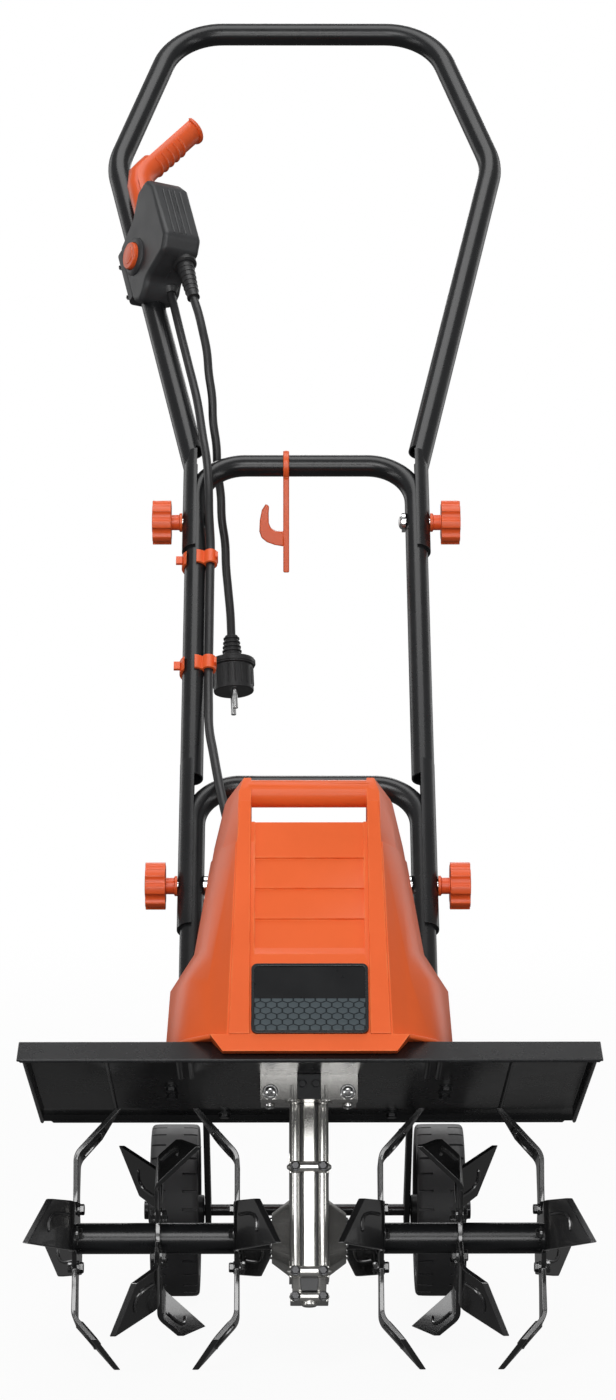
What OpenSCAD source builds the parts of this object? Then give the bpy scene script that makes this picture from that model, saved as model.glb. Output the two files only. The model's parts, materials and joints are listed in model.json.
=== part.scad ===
// Electric rotavator: a walk-behind garden tiller, standing on its tines and its transport wheels.
// Millimetres, Z up, front of the machine toward -Y, floor at Z = 0.

/* [Tines] */
// Radius of the circle that the tine tips sweep
tine_r = 105; // [95:1:115]
// Thickness of the tine plate
tine_t = 4; // [3:0.5:5]
// Width of one tine blade
tine_w = 40; // [32:1:44]
// Radius at which a tine starts to bend sideways
tine_bend_at = 60; // [54:1:64]
// Angle of that bend
tine_bend = 42; // [36:1:44]
// Inside radius of that bend
tine_bend_r = 12; // [8:1:14]
// Distance of the inner, middle and outer stars from the machine's middle
star_x = [58, 121, 188]; // [50:1:200]
// How far the stars are turned from upright
star_phase = 22.5; // [0:0.5:45]
// Outer diameter of the hub tubes
hub_d = 25; // [22:0.5:30]
// Diameter of the drive shaft
shaft_d = 18; // [14:0.5:19]

/* [Gearbox and motor] */
// Lean of the motor axis behind upright
lean = 23.3; // [15:0.1:28]
// Half the width of the gearbox casting
gear_half = 16; // [13:0.5:16]
// Radius of the gear case round the shaft
gear_r = 44; // [36:1:48]
// Depth of the column between gear case and guard
column_d = 52; // [40:1:60]
// Diameter of the motor
motor_d = 95; // [80:1:100]
// Length of the motor
motor_h = 150; // [120:1:160]

/* [Guard] */
// Overall width of the guard
guard_w = 450; // [430:1:480]
// Height of the guard's top face over the tine axle, along the motor axis
guard_h = 122; // [120:1:130]
// Thickness of the guard sheet
guard_t = 2; // [1.5:0.25:3]
// Length of the panel in front of the motor axis
guard_front = 176; // [160:1:190]
// Length of the panel behind the motor axis
guard_rear = 90; // [85:1:105]
// Length of the front visor
visor_l = 29; // [20:1:34]
// How far the visor is bent down from the panel
visor_bend = 41; // [25:1:50]
// Height of the side flanges
flange_h = 15; // [8:1:15]

/* [Motor housing] */
// Height of the housing body over the guard
housing_h = 165; // [158:1:180]
// Half the width of the body at its foot
housing_half = 82; // [76:1:84]
// Half the width of the body at its top
housing_top_half = 72; // [64:1:74]
// Half the width of the front shell at its foot
front_half = 104; // [98:1:108]
// Half the width of the front shell at the body's top
front_top_half = 79; // [75:1:84]
// Half the width of the flared base
flare_half = 113; // [100:1:118]
// Wall of the housing
housing_wall = 3; // [2.5:0.25:4]
// Rake of the front face from the motor axis
face_rake = 12.7; // [10:0.1:15]
// Height of the carry handle over the body
carry_h = 57; // [48:1:60]

/* [Handle] */
// Lean of the handle behind upright
tilt = 42.4; // [35:0.1:48]
// Lower clamp bolt behind the tine axle
clamp_y = 170; // [160:1:180]
// Lower clamp bolt over the tine axle
clamp_z = 263; // [255:1:270]
// Diameter of the lower and middle tubes
tube_d = 20; // [18:0.5:21]
// Wall of the tubes
tube_wall = 1.5; // [1.2:0.1:2]
// Half the distance between the legs of the lower frame
lower_half = 97.6; // [95:0.1:100]
// Half the distance between the legs of the middle handle
middle_half = 100; // [98:0.1:102]
// Middle crossbar above the lower clamp bolt, along the handle
middle_top = 468; // [440:1:480]
// Upper clamp bolt above the lower one, along the handle
upper_clamp = 400; // [390:1:410]
// Diameter of the upper tube
bar_d = 22; // [20:0.5:24]
// Height of the loop's grip bar, along the handle
bar_top = 1043; // [1000:1:1080]
// Half the length between the corners of the grip bar
bar_half = 128; // [115:1:140]
// Height of the loop's widest place, along the handle
bar_wide_at = 855; // [820:1:880]
// Half the loop's width there
bar_wide = 184; // [170:1:195]

/* [Knobs and switch] */
// Diameter of the star knobs
knob_d = 40; // [34:1:44]
// Thickness of the star knobs
knob_h = 17; // [14:1:20]
// Diameter of the clamp bolts
bolt_d = 8; // [6:0.5:8]
// Length of the switch box along the tube
switch_l = 76; // [70:1:84]
// Thickness of the switch box
switch_w = 39; // [36:1:44]
// How far the switch box stands out from the tube's middle
switch_deep = 78; // [70:1:86]
// Free tube between the loop's bend and the switch box
switch_drop = 91; // [70:1:110]
// Diameter of the cables
cable_d = 8; // [7:0.5:8.5]
// Diameter of the plug
plug_d = 37; // [34:0.5:39]
// Diameter of the plug's pins
pin_d = 4.8; // [4:0.1:5]
// Length of the plug's pins
pin_l = 19; // [15:0.5:20]

/* [Wheels] */
// Diameter of the transport wheels
wheel_d = 148; // [130:1:160]
// Width of a tyre
wheel_w = 41; // [30:1:44]
// Distance of the wheel axle behind the tine axle
wheel_y = 228; // [215:1:290]
// Inner side of a tyre from the machine's middle
wheel_x = 93.5; // [92:0.5:104]
// Diameter of the wheel axle
axle_d = 10; // [8:0.5:12]
// Thickness of the wheel legs
leg_t = 5; // [4:0.5:6]

/* [Hidden] */
$fn = 64;
eps = 0.01;
fit = 0.1;
gap = 0.3;
tip_lead = asin(tine_w / 2 / tine_r);
axle_z = tine_r * cos(star_phase - tip_lead);
guard_top = guard_h;
visor_tip = [-guard_front - visor_l * cos(visor_bend), guard_top - visor_l * sin(visor_bend)];
bar_r = bar_d / 2;
y_front = visor_tip.x * cos(lean) + visor_tip.y * sin(lean);
y_rear = clamp_y + bar_top * sin(tilt) + bar_r;
y_mid = (y_front + y_rear) / 2;
tube_r = tube_d / 2;
shell_in = tube_r + gap;
shell_out = shell_in + 2.3;
black = [0.06, 0.06, 0.065];
orange = [0.86, 0.28, 0.1];
steel = [0.75, 0.75, 0.76];

// Frames: the tine axle, the leaning motor axis, and the handle's plane from the lower clamp bolt upward.
module at_axle() {
    translate([0, -y_mid, axle_z]) children();
}

module at_power() {
    at_axle() rotate([-lean, 0, 0]) children();
}

module at_handle() {
    at_axle() translate([0, clamp_y, clamp_z]) rotate([-tilt, 0, 0]) children();
}

module on_side(s) {
    if (s < 0) mirror([1, 0, 0]) children();
    else children();
}

module along_x(d, x0, x1) {
    translate([x0, 0, 0]) rotate([0, 90, 0]) cylinder(d = d, h = x1 - x0);
}

// A side profile in (y, z), x0 to x1 wide.
module side_plate(x0, x1) {
    translate([x0, 0, 0]) rotate([90, 0, 90]) linear_extrude(x1 - x0) children();
}

// Bent tubes: a route of corner points in the handle's plane, each corner with its own bend.
function unit(v) = v / norm(v);
function turn_at(a, b, c) = let(u = unit(b - a), w = unit(c - b)) atan2(u.x * w.y - u.y * w.x, u * w);
function cut_at(a, b, c, r) = r * abs(tan(turn_at(a, b, c) / 2));

module straight(p, q) {
    d = q - p;
    translate([p.x, p.y, 0]) rotate([90, 0, atan2(d.y, d.x) + 90]) linear_extrude(norm(d)) children();
}

// An elbow reaches a little into the straights at both ends.
lap = 0.5;

module elbow(a, b, c, r) {
    turn = turn_at(a, b, c);
    u = unit(b - a);
    start = b - u * cut_at(a, b, c, r);
    centre = start + sign(turn) * r * [-u.y, u.x];
    from = atan2(start.y - centre.y, start.x - centre.x);
    over = lap / r * 180 / PI;
    translate([centre.x, centre.y, 0]) rotate([0, 0, min(from, from + turn) - over])
        rotate_extrude(angle = abs(turn) + 2 * over) translate([r, 0]) mirror([turn > 0 ? 1 : 0, 0])
            children();
}

// The first child's profile along the straights of a bent route, the second child's round its elbows.
module bent(route, bends) {
    n = len(route);
    rotate([90, 0, 0]) {
        for (i = [0 : n - 2]) {
            u = unit(route[i + 1] - route[i]);
            from = i == 0 ? 0 : cut_at(route[i - 1], route[i], route[i + 1], bends[i - 1]);
            to = i == n - 2 ? 0 : cut_at(route[i], route[i + 1], route[i + 2], bends[i]);
            straight(route[i] + u * from, route[i + 1] - u * to) children(0);
        }
        for (i = [1 : n - 2])
            elbow(route[i - 1], route[i], route[i + 1], bends[i - 1]) children(1);
    }
}

module ring(d, wall) {
    difference() {
        circle(d = d);
        circle(d = d - 2 * wall);
    }
}

// Elbow walls are this much thicker on both faces, so that they close over the straights.
swell = 0.05;

module bent_tube(route, bends, d) {
    bent(route, bends) {
        ring(d, tube_wall);
        ring(d + 2 * swell, tube_wall + 2 * swell);
    }
}

// A half pipe along the handle that covers the outer side of the tube below it.
module half_shell(x, from, to) {
    translate([x, 0, from]) difference() {
        cylinder(r = shell_out, h = to - from);
        translate([0, 0, -1]) cylinder(r = shell_in, h = to - from + 2);
        translate([-2 * shell_out, -2 * shell_out, -1]) cube([2 * shell_out, 4 * shell_out, to - from + 2]);
    }
}

// A cable: a round tube swept along hand-chosen points.
cable_sides = 10;

function route_dir(p, i) = unit(p[min(i + 1, len(p) - 1)] - p[max(i - 1, 0)]);

module cable(p, d) {
    side = [1, 0, 0];
    rings = [for (i = [0 : len(p) - 1])
        let(w = route_dir(p, i), u = unit(cross(w, side)), v = cross(w, u))
        [for (k = [0 : cable_sides - 1])
            p[i] + d / 2 * (u * cos(360 * k / cable_sides) + v * sin(360 * k / cable_sides))]];
    last = len(p) - 1;
    walls = [for (i = [0 : last - 1], k = [0 : cable_sides - 1])
        let(n = (k + 1) % cable_sides)
        [i * cable_sides + k, (i + 1) * cable_sides + k, (i + 1) * cable_sides + n, i * cable_sides + n]];
    first_cap = [for (k = [0 : cable_sides - 1]) k];
    last_cap = [for (k = [cable_sides - 1 : -1 : 0]) last * cable_sides + k];
    polyhedron([for (r = rings) each r], concat(walls, [first_cap, last_cap]), convexity = 6);
}

// Rotor
module blade_side() {
    steps = 6;
    mid = tine_bend_r + tine_t / 2;
    blade_l = (tine_r - tine_bend_at) / cos(tine_bend);
    end = [sin(tine_bend), cos(tine_bend)] * blade_l;
    function arc(r) = [for (i = [0 : steps]) let(a = tine_bend * i / steps)
        [mid - r * cos(a), tine_bend_at + r * sin(a)]];
    outer = arc(mid + tine_t / 2);
    inner = arc(mid - tine_t / 2);
    polygon(concat([[-tine_t / 2, 0]], outer, [outer[steps] + end, inner[steps] + end],
        [for (i = [steps : -1 : 0]) inner[i]], [[tine_t / 2, 0]]));
}

// Blade outline across the wide face: the leading edge ends in the tip, the trailing edge is cut back.
module blade_face() {
    half = tine_w / 2;
    tip = tine_r * cos(tip_lead);
    polygon([[half - 4, 0], [half - 4, 40], [half, tine_bend_at], [half - 2, tip - 19],
        [-half, tip], [-half, tine_bend_at], [4 - half, 40], [4 - half, 0]]);
}

// One arm: radial along z, leading edge toward -y, bent toward +x or -x.
module tine(bend_side) {
    on_side(bend_side) intersection() {
        rotate([90, 0, 0]) linear_extrude(2 * tine_w, center = true) blade_side();
        translate([-tine_w, 0, 0]) rotate([90, 0, 90]) linear_extrude(4 * tine_w) blade_face();
    }
}

module tine_star(x, turn, bends) {
    color(black) at_axle() translate([x, 0, 0]) rotate([turn - star_phase, 0, 0]) difference() {
        union() {
            along_x(62, -tine_t / 2, tine_t / 2);
            for (k = [0 : 3]) rotate([90 * k, 0, 0]) tine(bends[k]);
        }
        along_x(hub_d + 2 * fit, -tine_t, tine_t);
    }
}

// Bends in turn order: up, front, down, back; out is away from the gearbox.
module set_star(side, place) {
    bends = place == 2 ? [-1, 1, -1, 1] : place == 1 ? [-1, 1, -1, 1] : [1, -1, 1, -1];
    turn = place == 1 ? 45 : 0;
    tine_star(side * star_x[place], turn, side * bends);
}

module tine_hub(side) {
    ends = [star_x[0] - 4, star_x[2] + 3];
    color(black) at_axle() on_side(side) difference() {
        along_x(hub_d, ends[0], ends[1]);
        along_x(shaft_d + 2 * fit, ends[0] - 1, ends[1] + 1);
    }
}

module tine_shaft() {
    color(steel) at_axle() along_x(shaft_d, -star_x[2], star_x[2]);
}

// Gearbox: two casting halves that meet in the machine's middle plane.
rib_half = 4.75;
band_z = [-32, 57];
band_h = 7;
band_out = 1.5;
roll_d = 15;
core_in = 4;
flank_in = 2;
ear = [39, 34, 9];
ear_plate = [12, 20];
ear_front = 66;
foot_r = 9;
foot_drop = 7;
foot_h = 15;
cone_r = [32, 20];
cone_l = 16;

module gear_outline(grow) {
    circle(r = gear_r + grow);
    translate([-column_d / 2 - grow, 0]) square([column_d + 2 * grow, guard_top - guard_t]);
}

module gearbox_half(side) {
    ear_z = guard_top - guard_t - ear.z;
    reach = 4 * guard_top;
    color(steel) at_power() on_side(side) difference() {
        union() {
            side_plate(0, gear_half - flank_in) gear_outline(-core_in);
            side_plate(0, rib_half) gear_outline(0);
            for (s = [-1, 1]) translate([gear_half - roll_d / 2, s * (column_d / 2 - roll_d / 2 - 1), 0])
                cylinder(d = roll_d, h = ear_z + 1);
            for (z = band_z) intersection() {
                translate([0, -gear_r, z]) cube([gear_half, 2 * gear_r, band_h]);
                side_plate(0, gear_half) gear_outline(band_out);
            }
            translate([0, 0, -gear_r - foot_drop]) cylinder(r = foot_r, h = foot_h);
            translate([gear_half - flank_in - eps, 0, 0]) rotate([0, 90, 0])
                cylinder(r1 = cone_r[0], r2 = cone_r[1], h = cone_l);
            translate([0, -ear_front, ear_z]) cube([ear.x, ear_front + ear.y / 2, ear.z]);
            translate([0, -ear_front, guard_top - guard_t - ear_plate.y])
                cube([ear.x, ear_plate.x, ear_plate.y]);
        }
        translate([-reach, -reach / 2, -reach / 2]) cube(reach);
        along_x(shaft_d + 2 * fit, -1, gear_half + 2 * cone_l);
    }
}

module motor_block() {
    color([0.3, 0.3, 0.32]) at_power() translate([0, 0, guard_top]) cylinder(d = motor_d, h = motor_h);
}

// Guard: a folded sheet, panel square to the motor axis.
hem_l = 8;
hem_bend = 35;

module guard_line(t) {
    rear = [guard_rear + hem_l * cos(hem_bend), guard_top - hem_l * sin(hem_bend)];
    v = t * [sin(visor_bend), cos(visor_bend)];
    h = t * [sin(hem_bend), cos(hem_bend)];
    polygon([visor_tip, [-guard_front, guard_top], [guard_rear, guard_top], rear,
        rear - [h.x, h.y], [guard_rear - t * tan(hem_bend / 2), guard_top - t],
        [-guard_front + t * tan(visor_bend / 2), guard_top - t], visor_tip + [v.x, -v.y]]);
}

module guard() {
    half = guard_w / 2;
    flange_x = half - 3;
    color(black) at_power() {
        side_plate(-half, half) guard_line(guard_t);
        for (s = [-1, 1]) on_side(s) translate([flange_x - guard_t, -guard_front + 1, guard_top - flange_h])
            cube([guard_t, guard_front + 60, flange_h - guard_t + eps]);
    }
}

// Motor housing: plan outlines at foot and top, hulled into two shells that meet behind the flare.
split_y = -32;
face_half = 60;
face_foot = guard_front + 21.5;
housing_top = guard_top + housing_h;
rear_foot = 72;
rear_top = 58;

tuck = 18;
bow = [22, 60];
bow_share = 0.6;

function face_y(z) = -face_foot + (z - guard_top) * tan(face_rake);
function front_half_at(z) = front_half - (front_half - front_top_half) * (z - guard_top) / housing_h;

// A plan of the front shell: flat face, bowed flanks, and tucked in behind to the rear shell's width
module plan(z, half, face, front, back, t = 1) {
    bowed = face + bow_share * (half - face);
    flank = [[face, front], [bowed, front + bow[0]], [half, front + bow[1]], [half, split_y - tuck],
        [back, split_y]];
    translate([0, 0, z]) linear_extrude(t)
        polygon(concat(flank, [for (k = [len(flank) - 1 : -1 : 0]) [-flank[k].x, flank[k].y]]));
}

module front_body(in, face_in) {
    top = housing_top - in;
    hull() {
        plan(guard_top, front_half - in, face_half + 4 - in, face_y(guard_top) + face_in,
            housing_half - in, eps);
        plan(top - eps, front_top_half - in, face_half - 2 - in, face_y(top) + face_in,
            housing_top_half - in, eps);
    }
}

module front_flare(in) {
    back = housing_half + 1.5;
    set = 5 + 1.5 * in;
    shoulder = guard_top + 52;
    top = guard_top + 89 - in;
    hull() {
        plan(guard_top, flare_half - in, face_half + 8 - in, face_y(guard_top) + set, back - in);
        plan(shoulder, flare_half - 3 - in, face_half + 6 - in, face_y(shoulder) + set, back - in);
        plan(top, front_half_at(top) - 2 - in, face_half - in, face_y(top) + set, back - 8 - in);
    }
}

// Two pillars and a bar over a finger well, behind the lip of the front face.
pillar_x = 46;
pillar_round = 14;
bar_grip_d = 22;
lip_h = 18;
lip_t = 10;
face_t = 9;

// The body's outline carried on up to the grip, drawn in at the shoulders
module front_cap() {
    top = housing_top + carry_h;
    low = housing_top - 6;
    round = top - pillar_round;
    hull() {
        plan(low, front_half_at(low) - 1, face_half - 3, face_y(low) + 1, housing_top_half - 1);
        plan(round, front_half_at(round) - 1, face_half - 4, face_y(round) - 1, housing_top_half - 6);
        plan(top - 0.6, face_half - 2, face_half - 8, face_y(top) + 2, face_half - 8);
    }
}

module carry_handle() {
    top = housing_top + carry_h;
    low = housing_top - 5;
    front = face_y(low);
    for (s = [-1, 1]) on_side(s) intersection() {
        front_cap();
        side_plate(pillar_x, 2 * front_half)
            polygon([[front - 9, low], [face_y(top) - 9, top + 5], [face_y(top) + 21, top + 5],
                [front + 74, low]]);
    }
    reach = pillar_x + 2;
    grip_z = top - bar_grip_d / 2;
    translate([0, face_y(grip_z) + bar_grip_d / 2, grip_z]) along_x(bar_grip_d, -reach, reach);
    lip = housing_top + lip_h;
    side_plate(-pillar_x - 1, pillar_x + 1)
        polygon([[front + 0.6, low], [face_y(lip) + 0.6, lip], [face_y(lip) + lip_t, lip],
            [front + lip_t, low]]);
}

// Louvres: a recess in the face whose slats overlap downward like shingles. Heights run up along the face.
slat_half = 43;
slat_foot = 70;
slat_edges = [102, 129, 156];
slat_deep = 3.4;
slat_proud = 1.7;

module louvres() {
    top = 200;
    steps = [for (s = slat_edges) each [[slat_deep, s - 0.6], [slat_proud, s]]];
    translate([0, face_y(guard_top), guard_top]) rotate([-face_rake, 0, 0]) side_plate(-slat_half, slat_half)
        polygon(concat([[-20, slat_foot], [0.3, slat_foot], [slat_proud, slat_foot + 6]], steps,
            [[slat_proud + 1, top], [-20, top]]));
}

// The front face's lower edge hangs over the guard's visor.
module apron() {
    drop = 13;
    proud = 0.5;
    top = guard_top + 1;
    half = face_half + 7;
    wide = half + 10;
    intersection() {
        side_plate(-wide, wide)
            polygon([[-guard_front - 0.5, guard_top], [-guard_front - 16, guard_top - drop],
                [face_y(guard_top - drop) - proud, guard_top - drop], [face_y(top) - proud, top],
                [-guard_front - 0.5, top]]);
        rotate([90, 0, 0]) linear_extrude(2 * guard_front)
            polygon([[-half, guard_top - drop], [half, guard_top - drop], [wide, top], [-wide, top]]);
    }
}

module housing_front() {
    color(orange) at_power() {
        difference() {
            union() {
                front_body(0, 0);
                front_flare(0);
                carry_handle();
            }
            translate([0, 0.5, -0.5]) front_body(housing_wall, face_t);
            translate([0, 0.5, -0.5]) front_flare(housing_wall + 1);
            louvres();
        }
        apron();
    }
}

module rear_body(in) {
    hull() {
        translate([0, 0, guard_top]) linear_extrude(eps)
            rear_plan(housing_half - in, rear_foot - in);
        translate([0, 0, housing_top - in - eps]) linear_extrude(eps)
            rear_plan(housing_top_half - in, rear_top - in);
    }
}

module rear_plan(half, rear) {
    round_y = 26;
    polygon([[-half, split_y], [half, split_y], [half, rear - round_y], [half - round_y, rear],
        [round_y - half, rear], [-half, rear - round_y]]);
}

module housing_rear() {
    color(orange) at_power() difference() {
        rear_body(0);
        translate([0, -eps, -eps]) rear_body(housing_wall);
    }
}

badge = [87, 55.5, 2];
badge_at = guard_top + 3;

module badge_plate() {
    color(black) at_power() translate([0, face_y(badge_at), badge_at]) rotate([-face_rake, 0, 0])
        translate([-badge.x / 2, -badge.z, 0]) cube([badge.x, badge.z, badge.y]);
}

// Handle
lower_top = 103;
foot_t = -215;
lower_bend = 40;
middle_cut = 112;
shell_foot = -45;
bar_cut = 485;
bar_shell_foot = 365;
bar_knee = 457;

module clamp_holes(t) {
    translate([0, 0, t]) along_x(bolt_d + 2 * fit, -200, 200);
}

module u_tube(half, foot, top, bend) {
    bent_tube([[-half, foot], [-half, top], [half, top], [half, foot]], [bend, bend], tube_d);
}

module lower_frame() {
    foot = [34, 44, 4];
    color(black) difference() {
        union() {
            at_handle() difference() {
                u_tube(lower_half, foot_t, lower_top, lower_bend);
                clamp_holes(0);
            }
            at_power() for (s = [-1, 1]) on_side(s)
                translate([housing_half + 1, split_y + 2, guard_top]) cube(foot);
        }
        at_power() translate([-200, -200, guard_top - 100]) cube([400, 400, 100]);
    }
}

module middle_handle() {
    color(black) at_handle() difference() {
        union() {
            u_tube(middle_half, middle_cut, middle_top, 44);
            for (s = [-1, 1]) on_side(s) half_shell(lower_half, shell_foot, middle_cut + 14);
        }
        clamp_holes(0);
        clamp_holes(upper_clamp);
    }
}

loop_route = [[-middle_half, bar_knee], [-bar_wide, bar_wide_at], [-bar_half, bar_top],
    [bar_half, bar_top], [bar_wide, bar_wide_at], [middle_half, bar_knee]];
loop_bends = [70, 62, 62, 70];

module upper_handlebar() {
    color(black) at_handle() difference() {
        union() {
            difference() {
                bent_tube(loop_route, loop_bends, bar_d);
                for (s = [-1, 1]) on_side(s) {
                    translate([0, -50, 0]) cube([middle_half, 100, bar_cut]);
                    translate([middle_half, 0, 0]) cylinder(r = shell_in, h = bar_cut);
                }
            }
            for (s = [-1, 1]) on_side(s) half_shell(middle_half, bar_shell_foot, bar_knee + 22);
        }
        clamp_holes(upper_clamp);
    }
}

// Clamp bolts and star knobs
function clamp_t(upper) = upper ? upper_clamp : 0;
function clamp_x(upper) = (upper ? middle_half : lower_half) + shell_out;
stem_l = 10;

module clamp_bolt(side, upper) {
    inner = (upper ? middle_half : lower_half) - tube_r;
    color(steel) at_handle() translate([0, 0, clamp_t(upper)]) on_side(side) {
        along_x(bolt_d, inner - 1, clamp_x(upper) + stem_l + 8);
        along_x(18, inner - 3, inner);
    }
}

module knob(side, upper) {
    lobes = 8;
    color(orange) at_handle() translate([0, 0, clamp_t(upper)]) on_side(side)
        translate([clamp_x(upper), 0, 0]) rotate([0, 90, 0]) difference() {
            union() {
                cylinder(d = 14, h = stem_l + 1);
                translate([0, 0, stem_l]) cylinder(d = knob_d, h = knob_h);
            }
            for (k = [0 : lobes - 1]) rotate(360 * (k + 0.5) / lobes)
                translate([knob_d / 2 + 2.5, 0, stem_l - 1]) cylinder(d = 11, h = knob_h + 2);
            translate([0, 0, -1]) cylinder(d = bolt_d + 2 * fit, h = stem_l + 9 + fit);
        }
}

// Cable fittings on the left leg of the middle handle
cable_side = 26;
cable_off = (tube_r + cable_d / 2 + 1) * [cos(cable_side), -sin(cable_side)];
clip_at = [345, 225];
clip_l = 14;

module cable_clip(t) {
    ring = 2.3;
    color(orange) at_handle() translate([-middle_half, 0, t]) difference() {
        union() {
            cylinder(r = tube_r + fit + ring, h = clip_l);
            translate([cable_off.x, cable_off.y, 0]) cylinder(r = cable_d / 2 + fit + ring, h = clip_l);
        }
        translate([0, 0, -1]) cylinder(r = tube_r + fit, h = clip_l + 2);
        translate([cable_off.x, cable_off.y, -1]) cylinder(r = cable_d / 2 + fit, h = clip_l + 2);
        translate([-8, -30, -1]) cube([9, 30, clip_l + 2]);
    }
}

module cord_hook() {
    x0 = -21;
    strip = 5.5;
    bar_y = clamp_y + middle_top * sin(tilt);
    bar_z = clamp_z + middle_top * cos(tilt);
    color(orange) at_axle() translate([x0, bar_y, bar_z]) {
        difference() {
            union() {
                along_x(tube_d + 8, 0, strip);
                translate([0, -8, -98]) cube([strip, 16, 92]);
            }
            along_x(tube_d + 2 * fit, -1, strip + 1);
        }
        translate([-18, -8, -66]) cube([18 + eps, 16, 5]);
        translate([-18, -8, -66]) cube([4, 16, 26]);
    }
}

// Switch box on the loop's left leg, turned about the tube; clamped to it from behind
loop_lean = atan((bar_wide - middle_half) / (bar_wide_at - bar_knee));
loop_cut = cut_at(loop_route[0], loop_route[1], loop_route[2], loop_bends[0]);
switch_at = bar_wide_at - (loop_cut + switch_drop + switch_l / 2) * cos(loop_lean);
switch_turn = 64;
switch_round = [6, 10];
clamp_deep = 16;
clamp_l = 0.8 * switch_l;

function loop_x(t) = middle_half + (t - bar_knee) * tan(loop_lean);
function from_switch(p) = [p.x * cos(loop_lean) - p.z * sin(loop_lean) - loop_x(switch_at), p.y,
    p.x * sin(loop_lean) + p.z * cos(loop_lean) + switch_at];
function from_handle(p) = [p.x, clamp_y + p.y * cos(tilt) + p.z * sin(tilt),
    clamp_z - p.y * sin(tilt) + p.z * cos(tilt)];

module at_switch() {
    at_handle() translate([-loop_x(switch_at), 0, switch_at]) rotate([0, -loop_lean, 0]) children();
}

module rounded(size, r) {
    translate([r, 0]) square([size.x - 2 * r, size.y]);
    translate([0, r]) square([size.x, size.y - 2 * r]);
    for (x = [r, size.x - r], y = [r, size.y - r]) translate([x, y]) circle(r = r);
}

module switch_box() {
    color([0.09, 0.09, 0.095]) at_switch() difference() {
        rotate(-switch_turn) translate([0, -switch_w / 2, -switch_l / 2]) intersection() {
            linear_extrude(switch_l) rounded([switch_deep, switch_w], switch_round[0]);
            translate([0, switch_w, 0]) rotate([90, 0, 0])
                linear_extrude(switch_w) rounded([switch_deep, switch_l], switch_round[1]);
        }
        cylinder(d = bar_d + 2 * fit, h = 2 * switch_l, center = true);
    }
}

module switch_clamp() {
    wide = switch_w - 4;
    color([0.09, 0.09, 0.095]) at_switch() difference() {
        rotate(-switch_turn) translate([-clamp_deep, -wide / 2, -clamp_l / 2])
            linear_extrude(clamp_l) rounded([clamp_deep, wide], switch_round[0]);
        cylinder(d = bar_d + 2 * fit, h = 2 * clamp_l, center = true);
    }
}

button_d = 26;
button_h = 7;
button_u = 19;

module lock_button() {
    color(orange) at_switch() rotate(-switch_turn) translate([button_u, -switch_w / 2, -1])
        rotate([90, 0, 0]) cylinder(d = button_d, h = button_h);
}

// Lever: a half pipe, open toward the loop, that leans in over the grip
lever_at = [10, -32];
lever_d = 28;
lever_t = 3;
lever_rise = 58;
lever_end = [64, 112];
lever_bend = 36;

module switch_lever() {
    color(orange) at_switch() translate([lever_at.x, lever_at.y, switch_l / 2])
        bent([[0, 0], [0, lever_rise], lever_end], [lever_bend]) {
            lever_section(0);
            lever_section(swell);
        }
}

module lever_section(grow) {
    intersection() {
        ring(lever_d + 2 * grow, lever_t + 2 * grow);
        translate([-lever_d, -lever_d]) square([lever_d + grow, 2 * lever_d]);
    }
}

// Mains lead: hangs from the gland under the switch box to its plug
gland_at = [32, -46, -switch_l / 2];
gland_l = 46;
lead_drop = [[0, 0, 0], [5, -13, -15], [9, -24, -31], [13, -32, -50], [15, -39, -71], [18, -43, -92],
    [19, -47, -115], [22, -49, -137], [23, -51, -160], [26, -53, -182], [27, -54, -205], [30, -56, -227],
    [31, -59, -250], [33, -64, -271], [35, -70, -292], [36, -79, -312]];
lead_top = from_handle(from_switch(gland_at - [0, 0, gland_l]));
lead = [for (p = lead_drop) lead_top + p];

module mains_lead() {
    color(black) at_axle() cable(lead, cable_d);
}

module at_lead_end() {
    last = len(lead) - 1;
    w = route_dir(lead, last);
    translate(lead[last]) rotate([0, acos(w.z), atan2(w.y, w.x)]) children();
}

module lead_gland() {
    color(black) at_switch() translate(gland_at) rotate([180, 0, 0])
        cylinder(d1 = 2 * cable_d + 1, d2 = cable_d + 3, h = gland_l);
}

module plug_body() {
    color(black) at_axle() at_lead_end() {
        cylinder(d1 = 12, d2 = 18, h = 24);
        translate([0, 0, 24 - eps]) cylinder(d = plug_d + 4, h = 7);
        translate([0, 0, 31 - 2 * eps]) cylinder(d = plug_d, h = 24);
    }
}

module plug_pins() {
    color(steel) at_axle() at_lead_end() for (s = [-1, 1])
        translate([s * 9.5, 0, 55 - 2 * eps]) cylinder(d = pin_d, h = pin_l);
}

// Motor cable: from the switch box down the left leg, through both clips and into the housing
housing_gland_at = [-62, 24, housing_top];
housing_gland_l = 14;

function from_power(p) = [p.x, p.y * cos(lean) + p.z * sin(lean), p.z * cos(lean) - p.y * sin(lean)];
function to_handle(p) = let(y = p.y - clamp_y, z = p.z - clamp_z)
    [p.x, y * cos(tilt) - z * sin(tilt), y * sin(tilt) + z * cos(tilt)];

cable_top = [17, -14, -switch_l / 2];
cable_end = housing_gland_at + [0, 0, housing_gland_l];
cable_foot = from_switch(cable_top - [0, 0, 20]);
clip_in = [cable_off.x - middle_half, cable_off.y, clip_at[0] + 25];
// From the upper clip to the box: share of the way across, distance forward, share of the way up
cable_sway = [[0.83, 9, 0.88], [0.6, 12, 0.72], [0.37, 13, 0.56], [0.22, 13, 0.41], [0.11, 13, 0.3],
    [0.06, 12, 0.2], [0.04, 7, 0.1]];
// Places of the cable below the lower clip, in the handle's frame
cable_slack = [[-86, -9, 185], [-85, -14, 155], [-81, -20, 125], [-76, -26, 90], [-70, -31, 55],
    [-65, -33, 28]];

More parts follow.
